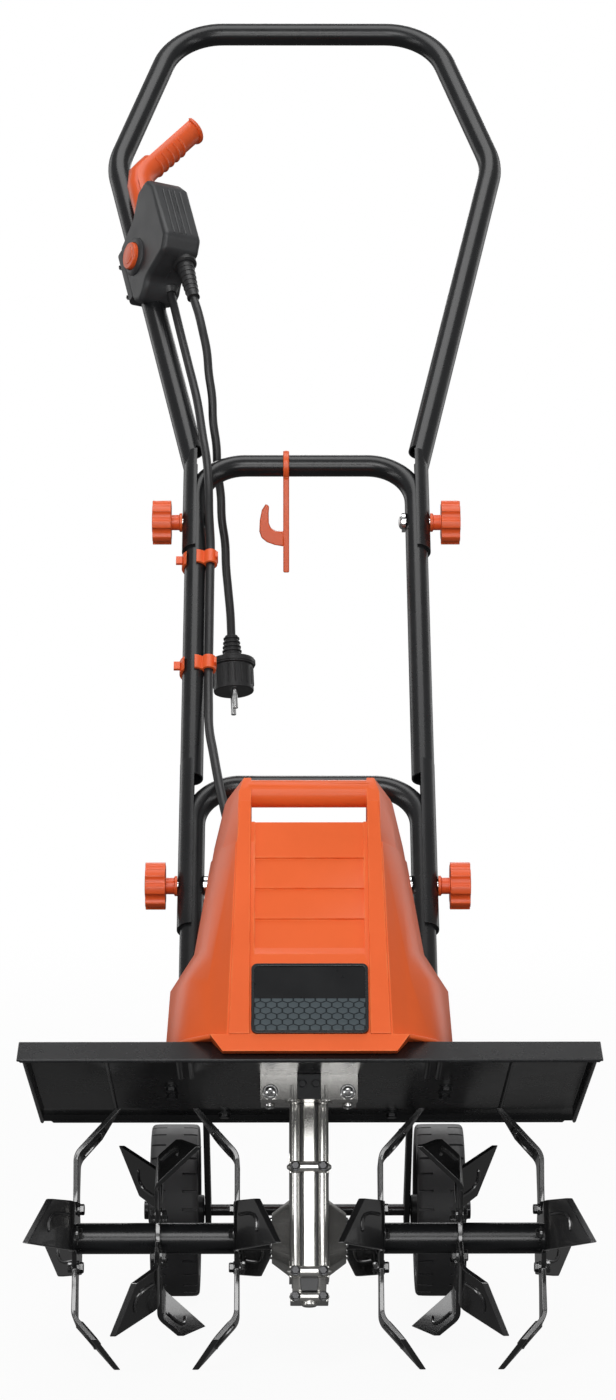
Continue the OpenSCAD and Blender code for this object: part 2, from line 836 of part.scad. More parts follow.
function between(s) = [clip_in.x + s.x * (cable_foot.x - clip_in.x), clip_in.y - s.y,
    clip_in.z + s.z * (cable_foot.z - clip_in.z)];
function in_clip(t) = [clip_in.x, clip_in.y, t];

cable_route = concat([from_switch(cable_top), cable_foot], [for (s = cable_sway) between(s)],
    [clip_in, in_clip(clip_at[0] - 10), in_clip(clip_at[0] - 45), in_clip(clip_at[1] + 35)],
    [in_clip(clip_at[1] - 10)],
    cable_slack, [to_handle(from_power(cable_end + [0, 0, 20])), to_handle(from_power(cable_end))]);

module motor_cable() {
    color(black) at_handle() cable(cable_route, cable_d);
}

module housing_gland() {
    color(black) at_power() translate(housing_gland_at) cylinder(d1 = 18, d2 = 14, h = housing_gland_l);
}

// Transport wheels
axle_rel = [wheel_y, wheel_d / 2 - axle_z];
axle_p = [axle_rel.x * cos(lean) - axle_rel.y * sin(lean), axle_rel.x * sin(lean) + axle_rel.y * cos(lean)];
wheel_gap = 5;
leg_x = wheel_x - wheel_gap - leg_t;
leg_r = 14;

module at_wheel() {
    translate([0, wheel_y - y_mid, wheel_d / 2]) children();
}

module leg_side() {
    plate_y = [52, 86];
    dir = unit(axle_p - [plate_y[1], guard_top + leg_r]);
    n = leg_r * [-dir.y, dir.x];
    polygon([[plate_y[0], guard_top], [plate_y[1] + 4, guard_top], axle_p - n, axle_p + n,
        [plate_y[0] + 20, guard_top + 2 * leg_r], [plate_y[0], guard_top + leg_r]]);
    translate(axle_p) circle(r = leg_r);
}

module wheel_bracket() {
    color(black) at_power() difference() {
        union() {
            for (s = [-1, 1]) on_side(s) side_plate(leg_x, leg_x + leg_t) leg_side();
            translate([-leg_x - eps, rear_foot + 2, guard_top]) cube([2 * leg_x + 2 * eps, 14, 4]);
        }
        translate([0, axle_p.x, axle_p.y]) along_x(axle_d + 2 * fit, -200, 200);
    }
}

module wheel_axle() {
    end = wheel_x + wheel_w + 3;
    cap_d = 1.6 * axle_d;
    color(steel) at_wheel() {
        along_x(axle_d, -end, end);
        for (s = [-1, 1]) on_side(s) along_x(cap_d, end - eps, end + 4);
    }
}

module wheel_profile() {
    translate([wheel_d / 2 - 12, 0]) square([9, wheel_w]);
    translate([wheel_d / 2 - 4, 3]) square([4, wheel_w - 6]);
}

module tyre(side) {
    color([0.1, 0.1, 0.1]) at_wheel() on_side(side) translate([wheel_x, 0, 0]) rotate([0, 90, 0])
        rotate_extrude() wheel_profile();
}

module wheel_hub(side) {
    rim_r = wheel_d / 2 - 12;
    color([0.16, 0.16, 0.17]) at_wheel() on_side(side) translate([wheel_x, 0, 0]) rotate([0, 90, 0])
        difference() {
        union() {
            translate([0, 0, 1 - wheel_gap]) cylinder(d = 26, h = wheel_w + wheel_gap + 1);
            translate([0, 0, 12]) cylinder(r = rim_r, h = 8);
            difference() {
                cylinder(r = rim_r, h = wheel_w);
                translate([0, 0, -1]) cylinder(r = rim_r - 5, h = wheel_w + 2);
            }
        }
        translate([0, 0, -wheel_gap]) cylinder(d = axle_d + 2 * fit, h = wheel_w + 2 * wheel_gap);
    }
}

guard();
gearbox_half(-1);  // gearbox_left
gearbox_half(1);  // gearbox_right
motor_block();
housing_front();
housing_rear();
badge_plate();
lower_frame();
middle_handle();
upper_handlebar();
knob(-1, false);  // knob_lower_left
knob(1, false);  // knob_lower_right
knob(-1, true);  // knob_upper_left
knob(1, true);  // knob_upper_right
clamp_bolt(-1, false);  // bolt_lower_left
clamp_bolt(1, false);  // bolt_lower_right
clamp_bolt(-1, true);  // bolt_upper_left
clamp_bolt(1, true);  // bolt_upper_right
cable_clip(clip_at[0]);  // cable_clip_upper
cable_clip(clip_at[1]);  // cable_clip_lower
cord_hook();
switch_box();
switch_clamp();
lock_button();
switch_lever();
lead_gland();
mains_lead();
plug_body();
plug_pins();
motor_cable();
housing_gland();
wheel_bracket();
wheel_axle();
wheel_hub(-1);  // wheel_hub_left
wheel_hub(1);  // wheel_hub_right
tyre(-1);  // tyre_left
tyre(1);  // tyre_right
tine_shaft();
tine_hub(-1);  // tine_hub_left
tine_hub(1);  // tine_hub_right
set_star(-1, 0);  // star_left_inner
set_star(-1, 1);  // star_left_middle
set_star(-1, 2);  // star_left_outer
set_star(1, 0);  // star_right_inner
set_star(1, 1);  // star_right_middle
set_star(1, 2);  // star_right_outer
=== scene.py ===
# %% [markdown]
# # Dressing an electric rotavator
# The machine's exact solids arrive as a fixed frame: every node already sits where it belongs, in metres.
# This lesson adds what a solid modeller leaves out: softened edges, paint, castings, rubber, bolts, beads
# and light. Each step says what the thing is on the real machine, how it could be made, and why this way
# was chosen.

# %% Load the frame
import json
from math import atan2, cos, degrees, pi, radians, sin, sqrt
import bmesh
import bpy
from mathutils import Matrix, Vector

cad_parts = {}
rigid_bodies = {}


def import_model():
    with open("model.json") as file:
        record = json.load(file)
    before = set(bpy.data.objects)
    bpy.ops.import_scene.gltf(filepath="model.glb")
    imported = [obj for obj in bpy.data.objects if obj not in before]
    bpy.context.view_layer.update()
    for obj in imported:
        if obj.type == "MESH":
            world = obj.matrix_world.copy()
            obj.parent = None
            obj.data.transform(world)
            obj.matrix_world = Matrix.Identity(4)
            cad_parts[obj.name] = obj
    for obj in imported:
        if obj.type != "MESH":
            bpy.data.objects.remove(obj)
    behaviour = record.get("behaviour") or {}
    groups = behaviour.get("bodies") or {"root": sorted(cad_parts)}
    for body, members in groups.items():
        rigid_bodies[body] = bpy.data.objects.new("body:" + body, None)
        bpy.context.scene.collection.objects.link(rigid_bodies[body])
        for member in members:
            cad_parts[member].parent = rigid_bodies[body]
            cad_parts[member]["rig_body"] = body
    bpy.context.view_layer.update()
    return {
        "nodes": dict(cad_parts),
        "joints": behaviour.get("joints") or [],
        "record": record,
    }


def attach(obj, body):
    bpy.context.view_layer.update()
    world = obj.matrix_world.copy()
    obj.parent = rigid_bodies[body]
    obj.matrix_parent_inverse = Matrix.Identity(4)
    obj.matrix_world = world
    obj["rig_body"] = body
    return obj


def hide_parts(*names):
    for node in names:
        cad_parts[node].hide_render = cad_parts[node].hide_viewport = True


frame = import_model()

nodes = frame["nodes"]
joints = {j["name"]: j for j in frame["joints"]}
slot_of = {s["node"]: s["material_slot"] for s in frame["record"]["subparts"]}

# %% [markdown]
# ## Work frames
# A bolt on a leaning motor is awkward to place in upright coordinates. Empties could carry each group,
# but a matrix does it without an extra object. So each leaning group gets a work frame, which takes its
# millimetres to metres in the scene. The two axles come from the joints, so the frames follow the solids.

# %% Sizes that the work frames need, in millimetres and degrees
LEAN, TILT, RAKE = 23.3, 42.4, 12.7
GUARD_TOP, FACE_FRONT = 122, -197.5
CLAMP_Y, CLAMP_Z = 170, 263
LEG_HALF = 100
LOOP_KNEE, LOOP_RISE, LOOP_SPREAD = 457, 398, 84
SWITCH_AT, BOX_TURN = 711.383, -64
loop_lean = degrees(atan2(LOOP_SPREAD, LOOP_RISE))
print("the handle's loop opens by", round(loop_lean, 2), "degrees on each side")

# %% Work frames
MM = Matrix.Scale(0.001, 4)


def shift(x, y, z):
    return Matrix.Translation((x, y, z))


def spin(angle, axis):
    return Matrix.Rotation(radians(angle), 4, axis)


AXLE = Matrix.Translation(Vector(joints["tine_spin"]["pos_m"])) @ MM
WHEEL = Matrix.Translation(Vector(joints["left_wheel_spin"]["pos_m"])) @ MM
POWER = AXLE @ spin(-LEAN, "X")
FACE = POWER @ shift(0, FACE_FRONT, GUARD_TOP) @ spin(-RAKE, "X")
HANDLE = AXLE @ shift(0, CLAMP_Y, CLAMP_Z) @ spin(-TILT, "X")
switch_x = -LEG_HALF - (SWITCH_AT - LOOP_KNEE) * LOOP_SPREAD / LOOP_RISE
SWITCH = HANDLE @ shift(switch_x, 0, SWITCH_AT) @ spin(-loop_lean, "Y")
BOX = SWITCH @ spin(BOX_TURN, "Z")
print("axle", AXLE.translation, "wheel", WHEEL.translation)

# %% [markdown]
# ## The camera
# The photograph was taken from a little above the guard, about three metres away, looking slightly down.
# A long lens keeps the handle and the tines nearly at one scale. The picture is upright, so the lens is
# measured against its height.

# %% Camera
LENS, PICTURE_HEIGHT = 97.2, 36.0
CAMERA_ASIDE, CAMERA_BACK, CAMERA_UP = -0.017, 3.0, 0.814
LOOK_DOWN, LOOK_ASIDE = 5.23, -0.31

scene = bpy.context.scene


def placed(name, data):
    obj = bpy.data.objects.new(name, data)
    scene.collection.objects.link(obj)
    return obj


lens = bpy.data.cameras.new("photo_camera")
lens.sensor_fit = "VERTICAL"
lens.sensor_height = PICTURE_HEIGHT
lens.lens = LENS
lens.clip_end = 60.0
camera = placed("photo_camera", lens)
camera.location = (CAMERA_ASIDE, AXLE.translation.y - CAMERA_BACK, CAMERA_UP)
camera.rotation_euler = (radians(90 - LOOK_DOWN), 0, radians(LOOK_ASIDE))
scene.camera = camera
scene.view_settings.view_transform = "Standard"
print("camera at", tuple(camera.location))

# %% [markdown]
# ## Shader groups
# Paint, plastic and castings share a few effects: a fine grain that breaks up highlights, a slow mottle
# that keeps a large face from looking flat, and worn edges, which on the tines are a painted highlight.
# They could be built anew in every material, but as node groups with named sockets they are built once,
# and a material only chooses values. A group puts out masks and heights; the shader stays in the material.

# %% Helpers that build a group
def new_group(name, inputs, outputs):
    tree = bpy.data.node_groups.new(name, "ShaderNodeTree")
    for socket, kind, value in inputs:
        s = tree.interface.new_socket(socket, in_out="INPUT", socket_type=kind)
        if value is not None:
            s.default_value = value
    for socket, kind in outputs:
        tree.interface.new_socket(socket, in_out="OUTPUT", socket_type=kind)
    return tree, tree.nodes.new("NodeGroupInput"), tree.nodes.new("NodeGroupOutput")


def preset(node, **values):
    """Sets sockets by name; an underscore stands for a space."""
    for socket, value in values.items():
        node.inputs[socket.replace("_", " ")].default_value = value


def math_node(tree, operation, a, b=None, clamp=False):
    n = tree.nodes.new("ShaderNodeMath")
    n.operation = operation
    n.use_clamp = clamp
    for socket, value in zip(n.inputs, (a, b)):
        if value is None:
            continue
        if isinstance(value, (int, float)):
            socket.default_value = value
        else:
            tree.links.new(value, socket)
    return n.outputs[0]


# %% Grain and mottle
def make_grain_group():
    tree, gin, gout = new_group(
        "Grain", [("Scale", "NodeSocketFloat", 900.0), ("Mottle Scale", "NodeSocketFloat", 14.0)],
        [("Height", "NodeSocketFloat"), ("Mottle", "NodeSocketFloat")])
    where = tree.nodes.new("ShaderNodeTexCoord")
    fine = tree.nodes.new("ShaderNodeTexNoise")
    preset(fine, Detail=3.0)
    slow = tree.nodes.new("ShaderNodeTexNoise")
    preset(slow, Detail=5.0, Roughness=0.62)
    for n, socket in ((fine, "Scale"), (slow, "Mottle Scale")):
        tree.links.new(where.outputs["Object"], n.inputs["Vector"])
        tree.links.new(gin.outputs[socket], n.inputs["Scale"])
    tree.links.new(fine.outputs["Fac"], gout.inputs["Height"])
    tree.links.new(slow.outputs["Fac"], gout.inputs["Mottle"])
    return tree


GRAIN = make_grain_group()
print("group", GRAIN.name)

# %% [markdown]
# ### Worn edges and painted edge highlights
# Where two faces meet, paint is rubbed thin. A Bevel node gives the normal that a rounded edge would
# have, and where that differs from the face's own there is an edge nearby. On the tines the same lighter
# edge is a painted highlight, for the white lines that glossy sheared edges mirror. Painting edges by hand
# would tie the wear to one mesh. Noise breaks the line up, because wear is never even.

# %% Worn edges
def make_edge_group():
    tree, gin, gout = new_group(
        "Edge wear and sheen", [("Width", "NodeSocketFloat", 0.0012), ("Breakup", "NodeSocketFloat", 60.0)],
        [("Mask", "NodeSocketFloat")])
    rounded = tree.nodes.new("ShaderNodeBevel")
    rounded.samples = 4
    flat = tree.nodes.new("ShaderNodeNewGeometry")
    dot = tree.nodes.new("ShaderNodeVectorMath")
    dot.operation = "DOT_PRODUCT"
    where = tree.nodes.new("ShaderNodeTexCoord")
    noise = tree.nodes.new("ShaderNodeTexNoise")
    preset(noise, Detail=4.0)
    tree.links.new(gin.outputs["Width"], rounded.inputs["Radius"])
    tree.links.new(rounded.outputs[0], dot.inputs[0])
    tree.links.new(flat.outputs["Normal"], dot.inputs[1])
    tree.links.new(where.outputs["Object"], noise.inputs["Vector"])
    tree.links.new(gin.outputs["Breakup"], noise.inputs["Scale"])
    edge = math_node(tree, "SUBTRACT", 1.0, dot.outputs["Value"])
    edge = math_node(tree, "MULTIPLY", edge, 5.0, True)
    rough = math_node(tree, "SUBTRACT", noise.outputs["Fac"], 0.36)
    rough = math_node(tree, "MULTIPLY", rough, 3.2, True)
    tree.links.new(math_node(tree, "MULTIPLY", edge, rough, True), gout.inputs["Mask"])
    return tree


EDGE = make_edge_group()
print("group", EDGE.name)

# %% [markdown]
# ### Honeycomb
# The lower part of the badge plate is a moulded honeycomb of low, flattened cells. Modelled cells would
# cost thousands of faces, so a shader draws them. A hexagon pattern is two interleaved rectangular grids:
# the nearer grid centre is taken, and the distance to it along the three directions across a hexagon
# gives the cell walls.

# %% Honeycomb
def make_honeycomb_group():
    tree, gin, gout = new_group(
        "Honeycomb", [("Vector", "NodeSocketVector", None), ("Scale", "NodeSocketFloat", 170.0),
                      ("Flatten", "NodeSocketFloat", 1.0)],
        [("Wall", "NodeSocketFloat"), ("Cell", "NodeSocketFloat")])
    root3 = sqrt(3)
    parts = tree.nodes.new("ShaderNodeSeparateXYZ")
    tree.links.new(gin.outputs["Vector"], parts.inputs[0])
    x = math_node(tree, "MULTIPLY", parts.outputs["X"], gin.outputs["Scale"])
    y = math_node(tree, "MULTIPLY", parts.outputs["Z"], gin.outputs["Scale"])
    y = math_node(tree, "DIVIDE", math_node(tree, "MULTIPLY", y, gin.outputs["Flatten"]), root3)

    def cell(half):
        fx = math_node(tree, "FRACT", math_node(tree, "ADD", x, 50.0 + half))
        fy = math_node(tree, "FRACT", math_node(tree, "ADD", y, 50.0 + half))
        fx = math_node(tree, "ABSOLUTE", math_node(tree, "SUBTRACT", fx, 0.5))
        fy = math_node(tree, "ABSOLUTE", math_node(tree, "SUBTRACT", fy, 0.5))
        fy = math_node(tree, "MULTIPLY", fy, root3)
        slant_x = math_node(tree, "MULTIPLY", fx, 0.5)
        slant_y = math_node(tree, "MULTIPLY", fy, root3 / 2)
        return math_node(tree, "MAXIMUM", fx, math_node(tree, "ADD", slant_x, slant_y))

    reach = math_node(tree, "MINIMUM", cell(0.0), cell(0.5))
    wall = math_node(tree, "MULTIPLY", math_node(tree, "SUBTRACT", reach, 0.41), 18.0, True)
    tree.links.new(wall, gout.inputs["Wall"])
    tree.links.new(reach, gout.inputs["Cell"])
    return tree


HONEYCOMB = make_honeycomb_group()
print("groups", [g.name for g in bpy.data.node_groups])

# %% [markdown]
# ## Finishes
# Every finish is a Principled shader. Its base colour and its roughness drift a little with the mottle,
# and the fine grain feeds a bump. What is the same all over, such as a clear coat, is set on the socket
# itself, because a node for a constant only clutters the tree.

# %% Helpers for colours and ranges
def mix_colour(tree, mask, a, b):
    n = tree.nodes.new("ShaderNodeMix")
    n.data_type = "RGBA"
    tree.links.new(mask, n.inputs["Factor"])
    for socket, value in ((n.inputs["A"], a), (n.inputs["B"], b)):
        if isinstance(value, bpy.types.NodeSocket):
            tree.links.new(value, socket)
        else:
            socket.default_value = (*value, 1.0)
    return n.outputs["Result"]


def ranged(tree, value, start, end, low, high, kind="LINEAR"):
    """Goes from low to high while the value goes from start to end."""
    n = tree.nodes.new("ShaderNodeMapRange")
    n.interpolation_type = kind
    tree.links.new(value, n.inputs["Value"])
    preset(n, From_Min=start, From_Max=end, To_Min=low, To_Max=high)
    return n.outputs["Result"]


def spread(tree, mask, low, high):
    """Noise seldom leaves 0.3 to 0.7, so that stretch is spread from low to high."""
    return ranged(tree, mask, 0.3, 0.7, low, high)


def use_group(tree, group, **values):
    n = tree.nodes.new("ShaderNodeGroup")
    n.node_tree = group
    preset(n, **values)
    return n


# %% Helpers that build a finish
def new_material(name):
    m = bpy.data.materials.new(name)
    m.use_nodes = True
    return m, m.node_tree, m.node_tree.nodes["Principled BSDF"]


def add_relief(tree, shader, height, strength, depth):
    bump = tree.nodes.new("ShaderNodeBump")
    preset(bump, Strength=strength, Distance=depth)
    tree.links.new(height, bump.inputs["Height"])
    tree.links.new(bump.outputs["Normal"], shader.inputs["Normal"])


def finish(name, colour, rough, drift=0.12, rough_drift=0.06, grain=900.0, depth=0.00004, mottle=14.0,
           metal=0.0, coat=0.0, ior=1.5, wear_and_sheen=None, wear_and_sheen_width=0.001):
    m, tree, shader = new_material(name)
    preset(shader, Metallic=metal, IOR=ior, Coat_Weight=coat, Coat_Roughness=0.06)
    g = use_group(tree, GRAIN, Scale=grain, Mottle_Scale=mottle)
    dark = tuple(c * (1 - drift) for c in colour)
    light = tuple(min(1.0, c * (1 + drift)) for c in colour)
    base = mix_colour(tree, spread(tree, g.outputs["Mottle"], 0.0, 1.0), dark, light)
    # Lighter edges: rubbed paint on most finishes, and on the tines a painted highlight
    if wear_and_sheen:
        e = use_group(tree, EDGE, Width=wear_and_sheen_width)
        base = mix_colour(tree, e.outputs["Mask"], base, wear_and_sheen)
    tree.links.new(base, shader.inputs["Base Color"])
    roughness = spread(tree, g.outputs["Mottle"], rough - rough_drift, rough + rough_drift)
    tree.links.new(roughness, shader.inputs["Roughness"])
    add_relief(tree, shader, g.outputs["Height"], 0.6, depth)
    m.diffuse_color = (*colour, 1.0)
    return m


# %% [markdown]
# The guard and the tubes are powder coated: near black, half gloss, with the faint orange peel of baked
# powder. The tines are brushed with a much glossier enamel, with a painted highlight on the sheared edges.
# The gear case is a polished light alloy casting, and the motor cover a moulded orange plastic with a fine
# spark-eroded skin. Each finish is listed under its slot in the record, so that a node finds its own.

# %% Painted and cast finishes
finishes = {
    "black_paint": finish(
        "powder_black", (0.0115, 0.012, 0.013), rough=0.27, drift=0.25, rough_drift=0.03, grain=170,
        depth=0.000004, mottle=18, ior=1.45, wear_and_sheen=(0.075, 0.077, 0.08), wear_and_sheen_width=0.0009),
    # The lighter grey on the tines' edges is a painted highlight, not wear
    "tine_paint": finish(
        "tine_enamel", (0.0105, 0.0105, 0.011), rough=0.20, drift=0.3, rough_drift=0.04, grain=240,
        depth=0.000004, mottle=22, coat=0.7, ior=1.7, wear_and_sheen=(0.20, 0.20, 0.20), wear_and_sheen_width=0.0008),
    "alloy": finish(
        "polished_alloy", (0.62, 0.61, 0.585), rough=0.23, drift=0.06, rough_drift=0.04, grain=700,
        depth=0.000012, mottle=26, metal=0.8, wear_and_sheen=(0.82, 0.81, 0.78), wear_and_sheen_width=0.0012),
    "motor": finish("motor_steel", (0.20, 0.20, 0.21), rough=0.45, metal=0.6),
    "bright_steel": finish(
        "plated_steel", (0.72, 0.72, 0.72), rough=0.16, drift=0.08, rough_drift=0.05, grain=800,
        depth=0.00002, mottle=60, metal=1.0),
    "shaft_steel": finish(
        "black_steel", (0.045, 0.045, 0.047), rough=0.26, drift=0.25, rough_drift=0.06, grain=700,
        depth=0.00003, mottle=50, metal=0.7),
}
print("painted and cast", sorted(finishes))

# %% Moulded finishes
finishes.update({
    "orange_plastic": finish(
        "orange_shell", (0.86, 0.135, 0.030), rough=0.36, drift=0.05, rough_drift=0.04, grain=1100,
        depth=0.00003, mottle=9, ior=1.36, wear_and_sheen=(0.93, 0.26, 0.085), wear_and_sheen_width=0.0022),
    "orange_trim": finish(
        "orange_fittings", (0.83, 0.115, 0.024), rough=0.36, drift=0.06, rough_drift=0.05, grain=1000,
        depth=0.00004, mottle=30, wear_and_sheen=(0.92, 0.25, 0.08), wear_and_sheen_width=0.0012),
    "switch_plastic": finish(
        "switch_plastic", (0.030, 0.031, 0.033), rough=0.47, drift=0.2, rough_drift=0.05, grain=1500,
        depth=0.00007, mottle=40, wear_and_sheen=(0.075, 0.077, 0.08), wear_and_sheen_width=0.0012),
    "cable_rubber": finish(
        "cable_rubber", (0.017, 0.017, 0.018), rough=0.42, drift=0.25, rough_drift=0.07, grain=1300,
        depth=0.00005, mottle=60),
    "wheel_plastic": finish(
        "wheel_plastic", (0.028, 0.028, 0.030), rough=0.42, drift=0.2, rough_drift=0.05, grain=1100,
        depth=0.00005, mottle=30, wear_and_sheen=(0.07, 0.07, 0.072)),
    "tyre": finish(
        "tyre_tread", (0.036, 0.036, 0.038), rough=0.50, drift=0.22, rough_drift=0.06, grain=800,
        depth=0.00009, mottle=24),
})
print("finishes", sorted(finishes))

# %% [markdown]
# The badge plate is smooth black above and slate grey with the honeycomb below. Two plates would need a
# seam that isn't there, so one finish changes at a height along the raked face. For that the coordinates
# are turned back by the motor's lean and the face's rake.

# %% Badge finish
COMB_TOP = 0.0305
SMOOTH_BLACK, SLATE, CELL_WALL = (0.010, 0.0105, 0.0115), (0.066, 0.083, 0.092), (0.012, 0.016, 0.019)


def make_badge_finish():
    m, tree, shader = new_material("badge_plate")
    preset(shader, Specular_IOR_Level=0.18)
    where = tree.nodes.new("ShaderNodeTexCoord")
    upright = tree.nodes.new("ShaderNodeVectorRotate")
    upright.rotation_type = "X_AXIS"
    preset(upright, Angle=radians(LEAN + RAKE), Center=FACE.translation)
    tree.links.new(where.outputs["Object"], upright.inputs["Vector"])
    height = tree.nodes.new("ShaderNodeSeparateXYZ")
    tree.links.new(upright.outputs[0], height.inputs[0])
    lower = math_node(tree, "LESS_THAN", height.outputs["Z"], FACE.translation.z + COMB_TOP)
    comb = use_group(tree, HONEYCOMB, Scale=118.0, Flatten=1.5)
    tree.links.new(upright.outputs[0], comb.inputs["Vector"])
    wall = math_node(tree, "MULTIPLY", comb.outputs["Wall"], lower)
    plate = mix_colour(tree, wall, mix_colour(tree, lower, SMOOTH_BLACK, SLATE), CELL_WALL)
    tree.links.new(plate, shader.inputs["Base Color"])
    g = use_group(tree, GRAIN, Scale=1400.0, Mottle_Scale=35.0)
    tree.links.new(spread(tree, g.outputs["Mottle"], 0.26, 0.38), shader.inputs["Roughness"])
    dome = math_node(tree, "MULTIPLY", comb.outputs["Cell"], lower)
    relief = math_node(tree, "SUBTRACT", math_node(tree, "SUBTRACT", 1.0, wall), dome)
    add_relief(tree, shader, relief, 0.8, 0.0004)
    return m


finishes["badge"] = make_badge_finish()
print("badge finish", finishes["badge"].name)

# %% [markdown]
# ## Building pieces
# Blender's primitives would do for some of the small hardware, but four verbs cover all of it: a box, a
# turned profile, an extruded outline and a bead along a path. Each adds to a growing mesh in millimetres.
# Then `piece` moves the mesh into the scene, softens it with a bevel and lets it ride on the body that
# carries it.

# %% Flat and turned shapes
ONE = Matrix.Identity(4)


def add_faces(bm, points, faces, m=ONE):
    verts = [bm.verts.new(m @ Vector(p)) for p in points]
    for f in faces:
        bm.faces.new([verts[i] for i in f])


def band(low, high, n):
    """The faces between two closed rings of n points, which start at the numbers low and high."""
    return [(low + k, low + (k + 1) % n, high + (k + 1) % n, high + k) for k in range(n)]


def box(bm, low, high, m=ONE):
    points = [(x, y, z) for z in (low[2], high[2]) for y in (low[1], high[1]) for x in (low[0], high[0])]
    faces = [(0, 2, 3, 1), (4, 5, 7, 6), (0, 1, 5, 4), (2, 6, 7, 3), (0, 4, 6, 2), (1, 3, 7, 5)]
    add_faces(bm, points, faces, m)


def prism(bm, outline, low, high, m=ONE):
    """An outline in x and y, extruded from low to high along Z."""
    n = len(outline)
    points = [(x, y, z) for z in (low, high) for x, y in outline]
    faces = [tuple(reversed(range(n))), tuple(range(n, 2 * n))] + band(0, n, n)
    add_faces(bm, points, faces, m)


def turned(bm, profile, m=ONE, steps=28):
    """A closed solid of revolution about Z: profile is (radius, height) from the bottom up."""
    turns = [2 * pi * k / steps for k in range(steps)]
    points = [(r * cos(a), r * sin(a), z) for r, z in profile for a in turns]
    top = len(points) - steps
    faces = []
    for ring in range(0, top, steps):
        faces += band(ring, ring + steps, steps)
    faces += [tuple(reversed(range(steps))), tuple(range(top, len(points)))]
    add_faces(bm, points, faces, m)


# %% Beads
def bead(bm, path, radius, m=ONE, sides=8):
    """A round bead along a path, with its ends drawn in."""
    path = [Vector(p) for p in path]
    first = path[0] - (path[1] - path[0]).normalized() * radius
    last = path[-1] + (path[-1] - path[-2]).normalized() * radius
    spine = [first] + path + [last]
    radii = [radius * 0.25] + [radius] * len(path) + [radius * 0.25]
    turns = [2 * pi * k / sides for k in range(sides)]
    points, side = [], None
    for i, (p, r) in enumerate(zip(spine, radii)):
        along = (spine[min(i + 1, len(spine) - 1)] - spine[max(i - 1, 0)]).normalized()
        if side is None:
            side = along.orthogonal().normalized()
        side = (side - along * side.dot(along)).normalized()
        other = along.cross(side)
        points += [p + r * (side * cos(a) + other * sin(a)) for a in turns]
    faces = []
    for i in range(len(spine) - 1):
        faces += band(i * sides, (i + 1) * sides, sides)
    faces += [tuple(reversed(range(sides))), tuple(range(len(points) - sides, len(points)))]
    add_faces(bm, points, faces, m)


# %% Heads of bolts and screws
def hex_head(bm, m, across, height):
    """A hexagon head with a washer under it, standing on Z = 0."""
    r = across / sqrt(3)
    turned(bm, [(across * 0.72, 0), (across * 0.72, 0.9), (across * 0.62, 1.1)], m, 24)
    turned(bm, [(r, 1.0), (r, height - 0.7), (r * 0.86, height)], m, 6)


def pan_head(bm, m, d, height):
    """A domed head with a hollow drive."""
    r = d / 2
    turned(bm, [(r, 0), (r, height * 0.35), (r * 0.86, height * 0.75), (r * 0.55, height),
                (r * 0.42, height), (r * 0.40, height * 0.55)], m, 24)


# %% Placing a piece
def soften(obj, width, segments=2, angle=32):
    bevel = obj.modifiers.new("soft_edges", "BEVEL")
    bevel.width = width * 0.001
    bevel.segments = segments
    bevel.limit_method = "ANGLE"
    bevel.angle_limit = radians(angle)
    bevel.harden_normals = True
    bevel.miter_outer = "MITER_ARC"


def piece(name, bm, work_frame, slot, body="machine", soft=0.0, angle=32):
    bmesh.ops.recalc_face_normals(bm, faces=bm.faces)
    bm.transform(work_frame)
    mesh = bpy.data.meshes.new(name)
    bm.to_mesh(mesh)
    bm.free()
    mesh.polygons.foreach_set("use_smooth", [True] * len(mesh.polygons))
    mesh.set_sharp_from_angle(angle=radians(angle))
    obj = placed(name, mesh)
    mesh.materials.append(finishes[slot])
    if soft:
        soften(obj, soft, 2, angle)
    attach(obj, body)
    print(name, len(mesh.polygons), "faces on", body)
    return obj


# %% [markdown]
# ## Softened copies of the solids
# A solid's edges are knife sharp, and nothing moulded, cast or pressed is. Each visible node is copied,
# its flat faces are joined back into whole polygons, and a bevel rounds the edges as its process would:
# under a millimetre on sheet steel, two or three on moulded plastic. The copy stands for the node, which
# stays as it is for the simulation.

# %% A finish on every node
for name, obj in nodes.items():
    obj.data.materials.clear()
    obj.data.materials.append(finishes[slot_of[name]])
print("finishes on", len(nodes), "nodes")

# %% How round each edge is, in millimetres
HAND = {-1: "left", 1: "right"}
EDGES = {
    "guard": 0.7, "gearbox_left": 1.2, "gearbox_right": 1.2, "housing_front": 2.4, "housing_rear": 4.0,
    "badge_plate": 0.9, "switch_clamp": 0.8, "lock_button": 1.6, "switch_lever": 1.0, "cord_hook": 1.2,
    "cable_clip_upper": 0.6, "cable_clip_lower": 0.6, "plug_body": 1.2, "wheel_bracket": 0.7,
    "wheel_hub_left": 1.0, "wheel_hub_right": 1.0, "wheel_axle": 0.8, "housing_gland": 0.8, "plug_pins": 0.6,
}
for side in HAND.values():
    EDGES.update({f"knob_{row}_{side}": 1.6 for row in ("lower", "upper")})
    EDGES.update({f"star_{side}_{place}": 0.7 for place in ("inner", "middle", "outer")})
    EDGES[f"tine_hub_{side}"] = 0.8
print("edges to round on", len(EDGES), "nodes")


# %% Softened copies
def eased(node, width):
    source = nodes[node]
    bm = bmesh.new()
    bm.from_mesh(source.data)
    bmesh.ops.remove_doubles(bm, verts=bm.verts, dist=0.00002)
    bmesh.ops.dissolve_limit(bm, angle_limit=radians(1.0), verts=bm.verts, edges=bm.edges)
    obj = piece(f"{node}_eased", bm, ONE, slot_of[node], source["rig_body"])
    soften(obj, width, 3 if width > 2 else 2, 30)
    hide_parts(node)
    return obj


softened = {name: eased(name, width) for name, width in EDGES.items()}
